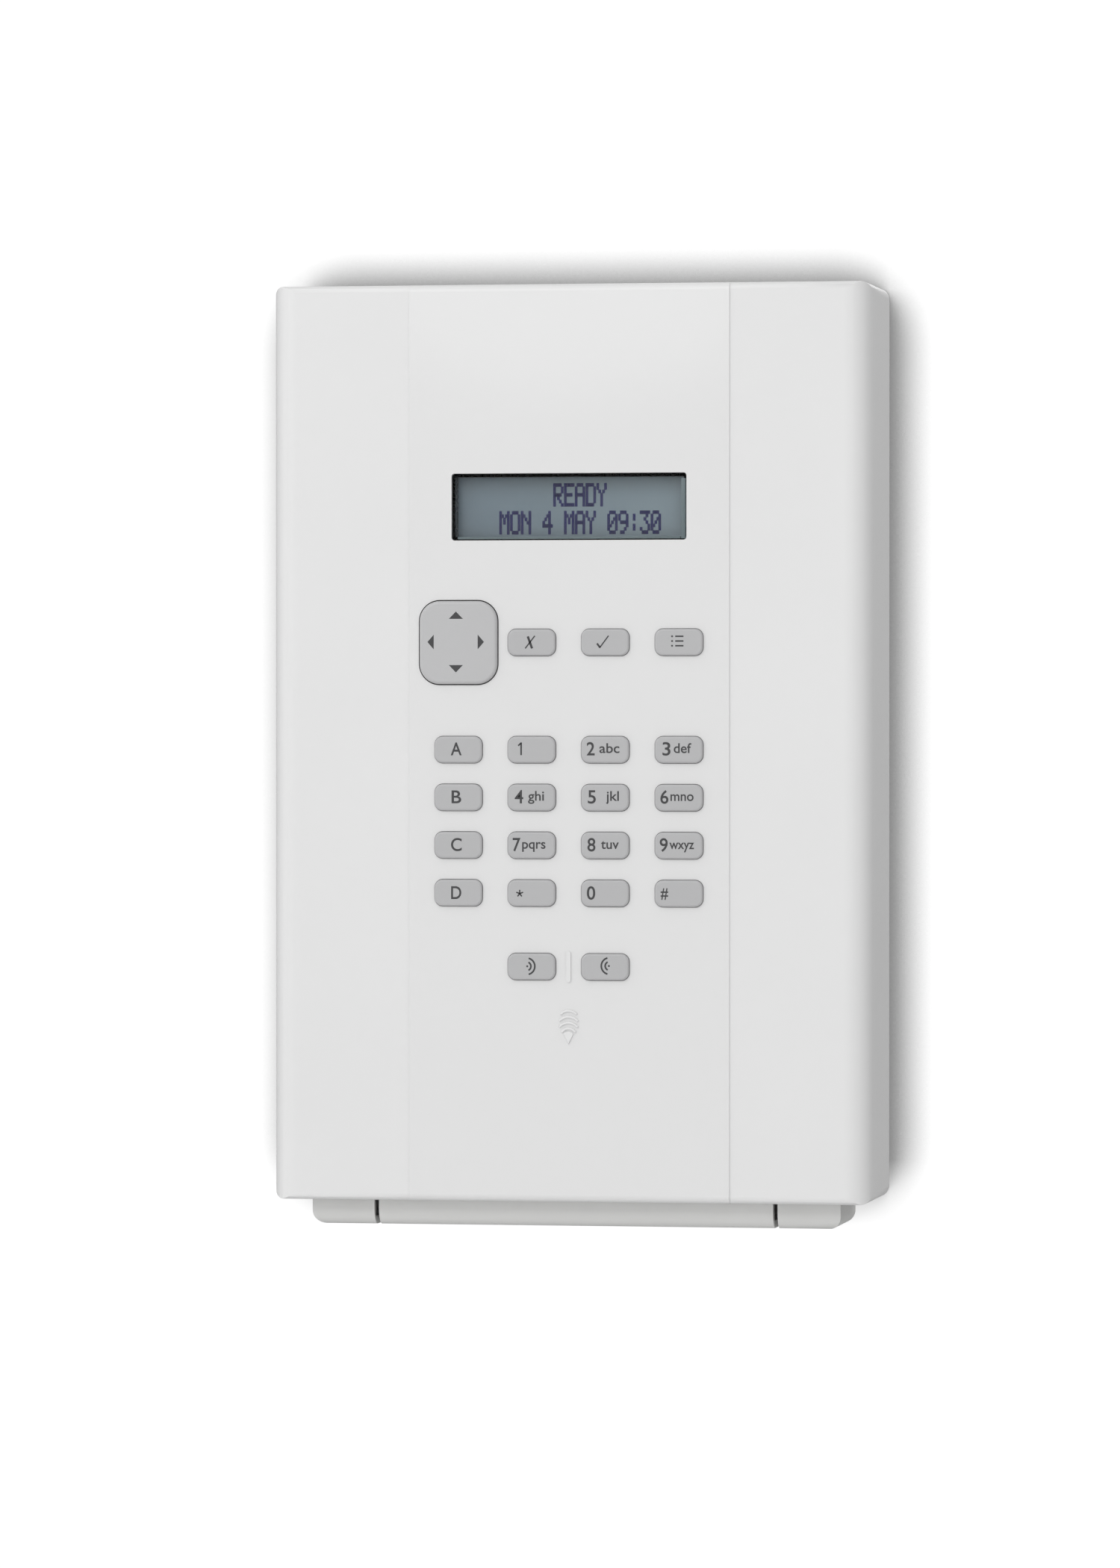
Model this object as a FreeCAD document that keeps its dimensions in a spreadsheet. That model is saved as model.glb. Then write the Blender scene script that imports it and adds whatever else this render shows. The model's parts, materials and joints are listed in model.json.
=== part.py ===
import FreeCAD, Part
import os
import re
import Sketcher
from FreeCAD import Rotation, Vector

# Alarm keypad panel: a deep moulded cover with keys and a display, hung by two hooks on a wall tray.
# Frame: the wall is the plane Y = 0, the panel faces -Y, +Z is up and +X is to the viewer's right.
# The origin is the middle of the cover's outline, on the wall. "Depth" is distance out from the wall.

doc = FreeCAD.newDocument("AlarmKeypadPanel")
sheet = doc.addObject("Spreadsheet::Sheet", "Sizes")

sizes = [
    ("coverWidth", 161.5, "outline of the cover"),
    ("coverHeight", 244, "cover, top to bottom"),
    ("coverCorner", 3, "corner radius of the outline"),
    ("coverSideRound", 7, "rounding from the face to the side walls"),
    ("coverEdgeRound", 2, "rounding from the face to the top and bottom walls"),
    ("coverWall", 2.2, "thickness of the side, top and bottom walls"),
    ("frontWall", 2.4, "thickness of the face"),
    ("faceDepth", 40, "face of the centre band"),
    ("bandWidth", 86.2, "raised centre band"),
    ("bandRise", 0.3, "how far the band stands up"),
    ("wallGap", 1, "between the cover's rear edge and the wall"),
    ("hingeDepth", 3.4, "axis of the two hinge pins"),
    ("hingeUp", 119.2, "height of the hinge pins"),
    ("hingePinRadius", 1.2, "hinge pins"),
    ("hingeFit", 0.08, "radial clearance of the pins"),
    ("hookRadius", 2.7, "outside of the hooks"),
    ("hookWidth", 10, "width of a hook"),
    ("hookAcross", 45, "middle of the panel to the middle of a hook"),
    ("hookNotch", 12, "width of the notch in the cover for a hook"),
    ("keyPitchAcross", 19.8, "key grid"),
    ("keyPitchUp", 12.7, "from one digit row to the next"),
    ("digitRowUp", -1.75, "first digit row"),
    ("menuRowUp", 26.75, "row of the rocker and the three menu keys"),
    ("setRowUp", -59.4, "bottom pair of keys"),
    ("keyWidth", 12.9, "key cap, side to side"),
    ("keyHeight", 7.1, "key cap, top to bottom"),
    ("keyCorner", 2.2, "rounded corners of a key cap"),
    ("keyProud", 0.9, "key top in front of the face"),
    ("keyTravel", 0.9, "how far a key goes in"),
    ("keyFlange", 1.1, "width of the flange that keeps a key in"),
    ("keyFlangeThick", 0.9, "thickness of that flange"),
    ("keyGap", 0.12, "clearance round a key"),
    ("keyStemRadius", 1.9, "stem behind a key"),
    ("keyTopRound", 0.6, "soft front edge of a key"),
    ("navWidth", 21, "rocker"),
    ("navHeight", 22.1, "rocker, top to bottom"),
    ("navCorner", 5.4, "rounded corners of the rocker"),
    ("navProud", 1.1, "rocker in front of the face"),
    ("navFlange", 1.2, "width of the rocker's flange"),
    ("navFlangeDepth", 35.7, "rear of the rocker's flange"),
    ("navFlangeThick", 1, "thickness of the rocker's flange"),
    ("navPivotDepth", 36.2, "middle of the rocker's ball"),
    ("navBallRadius", 1.8, "ball that the rocker tilts on"),
    ("navFootReach", 8.4, "rocker centre to each of its four feet"),
    ("navFootGap", 0.35, "a foot's end to its dome"),
    ("navGap", 0.3, "clearance round the rocker"),
    ("boardThick", 1.6, "circuit boards"),
    ("keypadBoardWidth", 93, "keypad board, side to side"),
    ("keypadBoardHeight", 114, "keypad board, top to bottom"),
    ("keypadBoardUp", -11, "middle of the keypad board"),
    ("keypadBoardDepth", 31.6, "rear of the keypad board"),
    ("domeHeight", 0.45, "snap domes under the keys"),
    ("domeRadius", 3.2, "radius of a snap dome"),
    ("matWidth", 79.6, "silicone mat"),
    ("matHeight", 106.5, "mat, top to bottom"),
    ("matUp", -12.75, "middle of the mat"),
    ("matDepth", 34.3, "rear of the mat's sheet"),
    ("matThick", 1, "thickness of the mat"),
    ("matRim", 2, "rim that stands the mat off the board"),
    ("bossRadius", 2.6, "screw bosses"),
    ("pilotRadius", 1.3, "pilot holes in the bosses"),
    ("keypadBossAcross", 43.2, "bosses beside the keypad board"),
    ("windowWidth", 63.3, "display window"),
    ("windowHeight", 17.8, "display window, top to bottom"),
    ("windowUp", 62.8, "middle of the display window"),
    ("lensGap", 0.2, "clearance round the lens"),
    ("lensThick", 1.15, "thickness of the lens"),
    ("lensSink", 0.3, "lens face behind the band's face"),
    ("bezelInnerWidth", 61.7, "opening of the display bezel"),
    ("bezelInnerHeight", 15.9, "the same, top to bottom"),
    ("glassDepth", 32.7, "rear of the display glass"),
    ("lcdBoardDepth", 27.8, "rear of the display's own board"),
    ("lcdBoardWidth", 80, "display board, side to side"),
    ("lcdBoardHeight", 32, "display board, top to bottom"),
    ("lcdBossAcross", 37.4, "display centre to the bosses at its sides"),
    ("lcdBossUp", 13.4, "display centre to the bosses above and below it"),
    ("lipWidth", 143, "part of the tray that shows below the cover"),
    ("lipBottom", -129.2, "lowest edge of the panel"),
    ("lipDepth", 30, "front of the lip"),
    ("lipHeight", 26, "moulding that the lip is cut from"),
    ("lipCorner", 3.5, "lower corners of the lip"),
    ("lipFrontRound", 4.5, "lower front edge of the lip"),
    ("lipGap", 0.5, "between the lip and the cover"),
    ("lipTop", -117, "upper edge of the lip's front wall, inside the cover"),
    ("slitAcross", 54, "middle of the panel to the middle of a slit"),
    ("slitWidth", 1.2, "width of a slit"),
    ("trayWidth", 155.6, "wall tray inside the cover"),
    ("trayTop", 115, "upper edge of the tray"),
    ("trayBottom", -118.8, "lower edge of the tray"),
    ("trayRim", 14, "depth of the tray's rim"),
    ("trayWall", 2, "thickness of the rim"),
    ("trayFloor", 2.4, "thickness of the tray's floor"),
    ("wallHoleAcross", 64, "wall screws"),
    ("wallHoleUp", 80, "the same, up and down"),
    ("wallHoleRadius", 2.4, "holes for the wall screws"),
    ("cableHoleWidth", 60, "cable entry through the tray"),
    ("cableHoleHeight", 22, "cable entry, top to bottom"),
    ("cableHoleUp", -97, "middle of the cable entry"),
    ("mainBoardWidth", 104, "main board, side to side"),
    ("mainBoardHeight", 116, "main board, top to bottom"),
    ("mainBoardUp", -4, "middle of the main board"),
    ("mainBoardDepth", 6.4, "rear of the main board"),
    ("mainScrewAcross", 48, "board middle to its screws"),
    ("mainScrewUp", 54, "board centre to its screws"),
    ("batteryUp", 88.5, "battery holder"),
    ("batteryWidth", 110, "battery holder, side to side"),
    ("batteryHeight", 34, "battery holder, top to bottom"),
    ("cellRadius", 7.1, "round cells"),
    ("cellLength", 50, "length of a cell"),
    ("tamperAcross", 62, "tamper switch, beside the main board"),
    ("tamperUp", -30, "height of the tamper switch"),
    ("tamperTop", 20, "plunger's top with the cover shut"),
    ("tamperRodRadius", 1.6, "tamper plunger"),
    ("aerialAcross", 71, "aerials along the tray's sides"),
    ("aerialLength", 70, "length of an aerial"),
    ("cableCoverGap", 0.4, "clearance of the cable cover"),
    ("prongAcross", 40, "cable cover's two prongs"),
    ("clampScrewAcross", 60, "screws that close the cover at the bottom"),
    ("clampScrewDepth", 34.6, "depth of those screws"),
    ("nothing", 0, "the panel's middle"),
]
for row, (alias, amount, note) in enumerate(sizes, start=1):
    sheet.set(f"A{row}", alias)
    sheet.set(f"B{row}", str(amount))
    sheet.set(f"C{row}", note)
    sheet.setAlias(f"B{row}", alias)
doc.recompute()

nodes = {}


def formula(text):
    """An expression in which every word is an alias of the sheet."""
    return re.sub(r"[A-Za-z]+", lambda word: "Sizes." + word.group(), str(text))


def value(text):
    """The number that a formula gives now."""
    return float(sheet.evalExpression(formula(text)))


def bind(thing, path, text):
    thing.setExpression(path, formula(text))


def place(thing, across, depth, up):
    """Move a thing: across is +X, depth is distance out from the wall, up is +Z."""
    bind(thing, ".Placement.Base.x", across)
    bind(thing, ".Placement.Base.y", f"0 - ({depth})")
    bind(thing, ".Placement.Base.z", up)


def node(name, thing):
    """Make a finished thing a sub-part of this name."""
    thing.Label = name
    nodes[name] = thing
    return thing


# ---- plain shapes -------------------------------------------------------------------------------

def block(label, width, thick, height, across=0, depth=0, up=0):
    """A box centred across and up, from depth to depth + thick."""
    box = doc.addObject("Part::Box", "Block")
    box.Label = label
    bind(box, "Length", width)
    bind(box, "Width", thick)
    bind(box, "Height", height)
    place(box, f"{across} - ({width}) / 2", f"{depth} + ({thick})", f"{up} - ({height}) / 2")
    return box


def post(label, radius, length, across=0, depth=0, up=0):
    """A round post that stands out from the wall, from depth to depth + length."""
    cylinder = doc.addObject("Part::Cylinder", "Post")
    cylinder.Label = label
    bind(cylinder, "Radius", radius)
    bind(cylinder, "Height", length)
    cylinder.Placement = FreeCAD.Placement(Vector(), Rotation(Vector(1, 0, 0), 90))
    place(cylinder, across, depth, up)
    return cylinder


def rod(label, radius, length, across=0, depth=0, up=0):
    """A round rod along X, centred across."""
    cylinder = doc.addObject("Part::Cylinder", "Rod")
    cylinder.Label = label
    bind(cylinder, "Radius", radius)
    bind(cylinder, "Height", length)
    cylinder.Placement = FreeCAD.Placement(Vector(), Rotation(Vector(0, 1, 0), 90))
    place(cylinder, f"{across} - ({length}) / 2", depth, up)
    return cylinder


def upright(label, radius, length, across=0, depth=0, up=0):
    """A round rod along Z, from up to up + length."""
    cylinder = doc.addObject("Part::Cylinder", "Upright")
    cylinder.Label = label
    bind(cylinder, "Radius", radius)
    bind(cylinder, "Height", length)
    place(cylinder, across, depth, up)
    return cylinder


def ball(label, radius, across, depth, up):
    sphere = doc.addObject("Part::Sphere", "Ball")
    sphere.Label = label
    bind(sphere, "Radius", radius)
    place(sphere, across, depth, up)
    return sphere


def group(label, pieces):
    """Separate solids that share one sub-part."""
    compound = doc.addObject("Part::Compound", "Group")
    compound.Label = label
    compound.Links = pieces
    return compound


def fuse(label, pieces):
    union = doc.addObject("Part::MultiFuse", "Union")
    union.Label = label
    union.Shapes = pieces
    return union


def common(label, pieces):
    overlap = doc.addObject("Part::MultiCommon", "Overlap")
    overlap.Label = label
    overlap.Shapes = pieces
    return overlap


def cut(label, base, tools):
    difference = doc.addObject("Part::Cut", "Difference")
    difference.Label = label
    difference.Base = base
    difference.Tool = tools[0] if len(tools) == 1 else fuse(label + " tools", tools)
    return difference


# ---- sketched bodies ----------------------------------------------------------------------------

def newBody(label):
    body = doc.addObject("PartDesign::Body", "Body")
    body.Label = label
    return body


def outline(body, width, height, corner, depth=0, plane="XZ_Plane"):
    """A sketch of a rounded rectangle centred on a plane of its body's own origin."""
    sketch = body.newObject("Sketcher::SketchObject", "Outline")
    support = [feature for feature in body.Origin.OriginFeatures if feature.Role == plane][0]
    sketch.AttachmentSupport = [(support, "")]
    sketch.MapMode = "FlatFace"
    bind(sketch, ".AttachmentOffset.Base.z", depth)
    halfWidth = value(width) / 2
    halfHeight = value(height) / 2
    radius = value(corner)
    inX = halfWidth - radius
    inY = halfHeight - radius
    sides = [((-inX, halfHeight), (inX, halfHeight)), ((halfWidth, inY), (halfWidth, -inY)),
             ((inX, -halfHeight), (-inX, -halfHeight)), ((-halfWidth, -inY), (-halfWidth, inY))]
    for start, end in sides:
        sketch.addGeometry(Part.LineSegment(Vector(*start, 0), Vector(*end, 0)))
    quarter = 1.5707963
    for centreX, centreY, startTurn in [(inX, inY, 0), (inX, -inY, 3), (-inX, -inY, 2), (-inX, inY, 1)]:
        circle = Part.Circle(Vector(centreX, centreY, 0), Vector(0, 0, 1), radius)
        sketch.addGeometry(Part.ArcOfCircle(circle, startTurn * quarter, (startTurn + 1) * quarter))
    start, end, centre = 1, 2, 3
    constraints = []
    for index in range(4):
        arc = index + 4
        following = (index + 1) % 4
        constraints.append(Sketcher.Constraint("Tangent", index, end, arc, end))
        constraints.append(Sketcher.Constraint("Tangent", arc, start, following, start))
    for index in range(3):
        constraints.append(Sketcher.Constraint("Equal", 4, 5 + index))
    constraints.append(Sketcher.Constraint("Horizontal", 0))
    constraints.append(Sketcher.Constraint("Horizontal", 2))
    constraints.append(Sketcher.Constraint("Vertical", 1))
    constraints.append(Sketcher.Constraint("Vertical", 3))
    constraints.append(Sketcher.Constraint("Symmetric", 4, centre, 6, centre, -1, start))
    constraints.append(Sketcher.Constraint("Radius", 4, radius))
    constraints.append(Sketcher.Constraint("DistanceX", 3, end, 1, start, 2 * halfWidth))
    constraints.append(Sketcher.Constraint("DistanceY", 2, start, 0, start, 2 * halfHeight))
    numbers = sketch.addConstraint(constraints)
    for number, name, text in zip(numbers[-3:], ["corner", "width", "height"], [corner, width, height]):
        sketch.renameConstraint(number, name)
        bind(sketch, "Constraints." + name, text)
    return sketch


def pad(body, sketch, length, symmetric=False):
    feature = body.newObject("PartDesign::Pad", "Pad")
    feature.Profile = sketch
    feature.SideType = "Symmetric" if symmetric else "One side"
    bind(feature, "Length", length)
    body.Tip = feature
    return feature


def plate(label, width, height, corner, thick, across=0, depth=0, up=0):
    """A rounded plate parallel to the wall, from depth to depth + thick."""
    body = newBody(label)
    pad(body, outline(body, width, height, corner), thick)
    place(body, across, depth, up)
    return body


def prism(label, plane, width, height, corner, length, across=0, depth=0, up=0):
    """A rounded rectangle stretched both ways from a plane: XY runs up, YZ runs across."""
    body = newBody(label)
    pad(body, outline(body, width, height, corner, plane=plane), length, symmetric=True)
    place(body, across, depth, up)
    return body


def roundFront(body, radius):
    """Round the edges of the body's foremost face."""
    doc.recompute()
    base = body.Tip
    faces = base.Shape.Faces
    foremost = min(range(len(faces)), key=lambda index: faces[index].CenterOfMass.y)
    feature = body.newObject("PartDesign::Fillet", "Fillet")
    feature.Base = (base, [f"Face{foremost + 1}"])
    bind(feature, "Radius", radius)
    body.Tip = feature
    return feature


# ---- front cover --------------------------------------------------------------------------------

innerFace = "(faceDepth - frontWall)"
columns = {"left": "0 - 1.5 * keyPitchAcross", "midLeft": "0 - 0.5 * keyPitchAcross",
           "midRight": "0.5 * keyPitchAcross", "right": "1.5 * keyPitchAcross"}
keyRows = [
    ("menuRowUp", {"midLeft": "key_cancel", "midRight": "key_confirm", "right": "key_menu"}),
    ("digitRowUp", {"left": "key_a", "midLeft": "key_1", "midRight": "key_2", "right": "key_3"}),
    ("digitRowUp - keyPitchUp", {"left": "key_b", "midLeft": "key_4", "midRight": "key_5", "right": "key_6"}),
    ("digitRowUp - 2 * keyPitchUp",
     {"left": "key_c", "midLeft": "key_7", "midRight": "key_8", "right": "key_9"}),
    ("digitRowUp - 3 * keyPitchUp",
     {"left": "key_d", "midLeft": "key_star", "midRight": "key_0", "right": "key_hash"}),
    ("setRowUp", {"midLeft": "key_unset", "midRight": "key_set"}),
]
keys = [(name, columns[column], up) for up, row in keyRows for column, name in row.items()]
navAcross = columns["left"]


def coverOuter():
    """Three stretched outlines overlap: big roundings at the sides, small ones above and below."""
    sideFace = "(faceDepth - bandRise)"
    sides = common("cover sides", [
        prism("plan", "XY_Plane", "coverWidth", f"2 * {sideFace}", "coverSideRound", "coverHeight"),
        prism("profile", "YZ_Plane", f"2 * {sideFace}", "coverHeight", "coverEdgeRound", "coverWidth")])
    band = prism("centre band", "YZ_Plane", "2 * faceDepth", "coverHeight", "coverEdgeRound", "bandWidth")
    front = plate("front outline", "coverWidth", "coverHeight", "coverCorner", "faceDepth - wallGap",
                  depth="wallGap")
    return common("cover outer", [front, fuse("cover solid", [sides, band])])


def coverCavity():
    inWidth = "coverWidth - 2 * coverWall"
    inHeight = "coverHeight - 2 * coverWall"
    plan = prism("cavity plan", "XY_Plane", inWidth, f"2 * {innerFace}", "coverSideRound - coverWall",
                 inHeight)
    front = plate("cavity outline", inWidth, inHeight, "1.5", innerFace, depth=0)
    return common("cover cavity", [plan, front])


def coverOpenings():
    openings = [plate(name + " opening", "keyWidth + 2 * keyGap", "keyHeight + 2 * keyGap",
                      "keyCorner + keyGap", "2 * frontWall", across, "faceDepth - 1.5 * frontWall", up)
                for name, across, up in keys]
    openings.append(plate("rocker opening", "navWidth + 2 * navGap", "navHeight + 2 * navGap",
                          "navCorner + navGap", "2 * frontWall", navAcross, "faceDepth - 1.5 * frontWall",
                          "menuRowUp"))
    openings.append(plate("window opening", "windowWidth", "windowHeight", "0.8", "2 * frontWall", "nothing",
                          "faceDepth - 1.5 * frontWall", "windowUp"))
    openings.append(block("lip notch", "lipWidth + 2 * lipGap", "lipDepth + lipGap", "8", 0, 0,
                          "0 - coverHeight / 2"))
    for side in ("", "0 - "):
        openings.append(block("hook notch", "hookNotch", "hingeDepth + hookRadius + lipGap", "8",
                              side + "hookAcross", 0, "coverHeight / 2"))
        openings.append(upright("clamp screw hole", "1.7", "8", side + "clampScrewAcross", "clampScrewDepth",
                                "0 - coverHeight / 2 - 4"))
        openings.append(upright("clamp screw seat", "3.2", "5", side + "clampScrewAcross", "clampScrewDepth",
                                "0 - coverHeight / 2 - 4"))
    return openings


def coverBosses():
    bosses = []
    for side in ("", "0 - "):
        for up in keypadBossUps:
            bosses.append(boss(side + "keypadBossAcross", "keypadBoardDepth + boardThick", up))
        for up in ("windowUp + lcdBossUp", "windowUp - lcdBossUp"):
            bosses.append(boss(side + "lcdBossAcross", "lcdBoardDepth + boardThick", up))
        for end in (" + ", " - "):
            ear = f"{side}hookAcross{end}(hookNotch / 2 + 1)"
            bosses.append(block("hinge ear", "2.4", "4.6", "3", ear, "1.2", "hingeUp"))
        bosses.append(rod("hinge pin", "hingePinRadius", "hookNotch + 4", side + "hookAcross", "hingeDepth",
                          "hingeUp"))
    bosses.append(post("tamper finger", "3", f"{innerFace} - tamperTop", "tamperAcross", "tamperTop + 0.3",
                       "tamperUp"))
    return bosses


keypadBossUps = ("keypadBoardUp + keypadBoardHeight / 2 - 3", "keypadBoardUp + 2",
                 "keypadBoardUp - keypadBoardHeight / 2 + 3.5")


def boss(across, depth, up):
    """A tube on the back of the face that a board is screwed to."""
    outer = post("boss", "bossRadius", f"{innerFace} + 0.3 - ({depth})", across, depth, up)
    return cut("bored boss", outer, [post("pilot", "pilotRadius", "4", across, depth, up)])


def frontCover():
    shell = cut("cover shell", coverOuter(), [coverCavity()] + coverOpenings())
    rib = plate("raised bar", "1.2", "8.2", "0.59", "frontWall / 2 + 0.35", "nothing",
                "faceDepth - frontWall / 2", "setRowUp")
    return fuse("front_cover", [shell, rib] + coverBosses())


node("front_cover", frontCover())


# ---- display ------------------------------------------------------------------------------------

lensWidth = "windowWidth - 2 * lensGap"
lensHeight = "windowHeight - 2 * lensGap"
lensDepth = "(faceDepth - lensSink - lensThick)"
node("display_lens", plate("lens", lensWidth, lensHeight, "0.6", "lensThick", 0, lensDepth, "windowUp"))


def bezel():
    collar = plate("collar", lensWidth, lensHeight, "0.6", f"{lensDepth} - glassDepth - 1.3", 0,
                   "glassDepth + 1.3", "windowUp")
    flange = plate("bezel flange", "windowWidth + 4", "windowHeight + 4.2", "1", "1", 0, f"{innerFace} - 1.1",
                   "windowUp")
    sight = block("sight", "bezelInnerWidth", "12", "bezelInnerHeight", 0, "glassDepth", "windowUp")
    return cut("bezel", fuse("bezel solid", [collar, flange]), [sight])


node("lcd_bezel", bezel())
node("lcd_glass", block("glass", "windowWidth + 2.7", "1.2", "windowHeight + 1.7", 0, "glassDepth",
                        "windowUp"))
node("lcd_backlight", block("backlight", "windowWidth + 4.7", "glassDepth - lcdBoardDepth - boardThick - 0.1",
                            "windowHeight + 4", 0, "lcdBoardDepth + boardThick + 0.05", "windowUp"))


def lcdBoard():
    board = plate("display board", "lcdBoardWidth", "lcdBoardHeight", "1", "boardThick", 0, "lcdBoardDepth",
                  "windowUp")
    holes = [post("hole", "1.5", "3", side + "lcdBossAcross", "lcdBoardDepth - 0.5", "windowUp" + up)
             for side in ("", "0 - ") for up in (" + lcdBossUp", " - lcdBossUp")]
    return cut("lcd board", board, holes)


def lcdRibbon():
    """A flat cable, bent twice, from the display's board to the rear of the keypad board."""
    boardTop = "(keypadBoardUp + keypadBoardHeight / 2)"
    upper = block("ribbon on display", "24", "0.3", "7", 0, "lcdBoardDepth - 0.35", f"{boardTop} + 3")
    step = block("ribbon step", "24", "keypadBoardDepth - lcdBoardDepth + 0.3", "0.3", 0,
                 "lcdBoardDepth - 0.35", f"{boardTop} - 0.6")
    lower = block("ribbon on keypad", "24", "0.3", "7", 0, "keypadBoardDepth - 0.35", f"{boardTop} - 4.2")
    return fuse("ribbon", [upper, step, lower])


node("lcd_board", lcdBoard())
node("lcd_ribbon", lcdRibbon())


# ---- keys and rocker ----------------------------------------------------------------------------

keyFlangeDepth = f"({innerFace} - 0.3 - keyFlangeThick)"
domeTop = "(keypadBoardDepth + boardThick + domeHeight)"


def key(name, across, up):
    """Stem, flange and cap in one moulding; the cap comes out through the cover."""
    body = newBody(name)
    stemDepth = f"({domeTop} + keyTravel + 0.1)"
    stem = outline(body, "2 * keyStemRadius", "2 * keyStemRadius", "keyStemRadius - 0.05", stemDepth)
    pad(body, stem, f"{keyFlangeDepth} - {stemDepth}")
    flange = outline(body, "keyWidth + 2 * keyFlange", "keyHeight + 2 * keyFlange", "keyCorner + keyFlange",
                     keyFlangeDepth)
    pad(body, flange, "keyFlangeThick")
    cap = outline(body, "keyWidth", "keyHeight", "keyCorner", f"{keyFlangeDepth} + keyFlangeThick")
    pad(body, cap, f"faceDepth + keyProud - {keyFlangeDepth} - keyFlangeThick")
    roundFront(body, "keyTopRound")
    place(body, across, 0, up)
    return body


def navPad():
    """The rocker: cap, flange, four feet over the domes and a socket for its ball."""
    body = newBody("rocker cap")
    flange = outline(body, "navWidth + 2 * navFlange", "navHeight + 2 * navFlange", "navCorner + navFlange",
                     "navFlangeDepth")
    pad(body, flange, "navFlangeThick")
    cap = outline(body, "navWidth", "navHeight", "navCorner", "navFlangeDepth + navFlangeThick")
    pad(body, cap, "faceDepth + navProud - navFlangeDepth - navFlangeThick")
    roundFront(body, "0.9")
    place(body, navAcross, 0, "menuRowUp")
    footDepth = f"({domeTop} + navFootGap)"
    feet = [post("foot", "1.6", f"navFlangeDepth - {footDepth} + 0.2", f"{navAcross} + {right}", footDepth,
                 f"menuRowUp + {up}") for right, up in navReach]
    socket = [ball("socket", "navBallRadius + 0.08", navAcross, "navPivotDepth", "menuRowUp"),
              post("socket mouth", "navBallRadius + 0.08", "1.2", navAcross, "navPivotDepth - 1.2",
                   "menuRowUp")]
    return cut("nav_pad", fuse("rocker solid", [body] + feet), socket)


navReach = [("navFootReach", "nothing"), ("0 - navFootReach", "nothing"), ("nothing", "navFootReach"),
            ("nothing", "0 - navFootReach")]
for name, across, up in keys:
    node(name, key(name, across, up))
node("nav_pad", navPad())
node("nav_pivot", ball("pivot ball", "navBallRadius", navAcross, "navPivotDepth", "menuRowUp"))
node("nav_post", post("pivot post", "1.5",
                      "navPivotDepth - navBallRadius - keypadBoardDepth - boardThick - 0.05",
                      navAcross, "keypadBoardDepth + boardThick", "menuRowUp"))


# ---- keypad electronics -------------------------------------------------------------------------

def keypadMat():
    """A silicone sheet on a rim, with a hole for each stem and a bay for the rocker."""
    sheetBody = plate("mat sheet", "matWidth", "matHeight", "3", "matThick", 0, "matDepth", "matUp")
    rimDepth = "(keypadBoardDepth + boardThick)"
    rim = plate("mat rim", "matWidth", "matHeight", "3", f"matDepth - {rimDepth}", 0, rimDepth, "matUp")
    bay = plate("mat bay", "matWidth - 2 * matRim", "matHeight - 2 * matRim", "1.5", f"matDepth - {rimDepth}",
                0, rimDepth, "matUp")
    holes = [post("stem hole", "keyStemRadius + 0.6", "matThick * 3", across, "matDepth - matThick", up)
             for name, across, up in keys]
    rockerBay = block("rocker bay", "navWidth + 6", "8", "navHeight + 5", f"{navAcross} - 0.5",
                      "keypadBoardDepth + boardThick - 1", "menuRowUp")
    return cut("mat", fuse("mat solid", [sheetBody, cut("rim ring", rim, [bay])]), holes + [rockerBay])


def keypadBoard():
    board = plate("keypad board", "keypadBoardWidth", "keypadBoardHeight", "2", "boardThick", 0,
                  "keypadBoardDepth", "keypadBoardUp")
    holes = [post("hole", "1.6", "3", side + "keypadBossAcross", "keypadBoardDepth - 0.5", up)
             for side in ("", "0 - ") for up in keypadBossUps]
    return cut("board", board, holes)


def dome(across, up):
    cone = doc.addObject("Part::Cone", "Dome")
    bind(cone, "Radius1", "domeRadius")
    bind(cone, "Radius2", "domeRadius / 2")
    bind(cone, "Height", "domeHeight")
    cone.Placement = FreeCAD.Placement(Vector(), Rotation(Vector(1, 0, 0), 90))
    place(cone, across, "keypadBoardDepth + boardThick", up)
    return cone


def panScrew(across, depth, up, length):
    """A pan-head screw whose head's seat is at this depth; its shank runs on towards the face."""
    head = post("head", "2.3", "1.5", across, f"{depth} - 1.5", up)
    recess = block("driver slot", "3.2", "0.8", "0.7", across, f"{depth} - 1.6", up)
    shank = post("shank", "pilotRadius - 0.05", length, across, depth, up)
    return fuse("screw", [cut("slotted head", head, [recess]), shank])


def keypadScrews():
    screws = []
    for side in ("", "0 - "):
        screws += [panScrew(side + "keypadBossAcross", "keypadBoardDepth", up, "5") for up in keypadBossUps]
        screws += [panScrew(side + "lcdBossAcross", "lcdBoardDepth", "windowUp" + up, "5")
                   for up in (" + lcdBossUp", " - lcdBossUp")]
    return group("screws", screws)


def readerCoil():
    outer = plate("coil outside", "56", "34", "7", "1.2", 0, f"{innerFace} - 1.3", "0 - 89")
    inner = plate("coil inside", "45", "23", "3", "1.2", 0, f"{innerFace} - 1.3", "0 - 89")
    return cut("coil", outer, [inner])


def sounder():
    can = post("sounder can", "12", "5", "22", "keypadBoardDepth - 5.05", "8")
    return cut("buzzer", can, [post("sound hole", "1.5", "2", "22", "keypadBoardDepth - 5.1", "8")])


def coverScrews():
    screws = []
    for side in ("", "0 - "):
        across = side + "clampScrewAcross"
        under = "0 - coverHeight / 2"
        head = upright("clamp head", "3", "0.95", across, "clampScrewDepth", f"{under} + 0.05")
        shank = upright("clamp shank", "1.5", "9", across, "clampScrewDepth", f"{under} + 0.9")
        slot = block("driver slot", "4.4", "0.9", "1", across, "clampScrewDepth - 0.45", f"{under} + 0.1")
        screws.append(cut("clamp screw", fuse("clamp solid", [head, shank]), [slot]))
    return group("clamp screws", screws)


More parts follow.
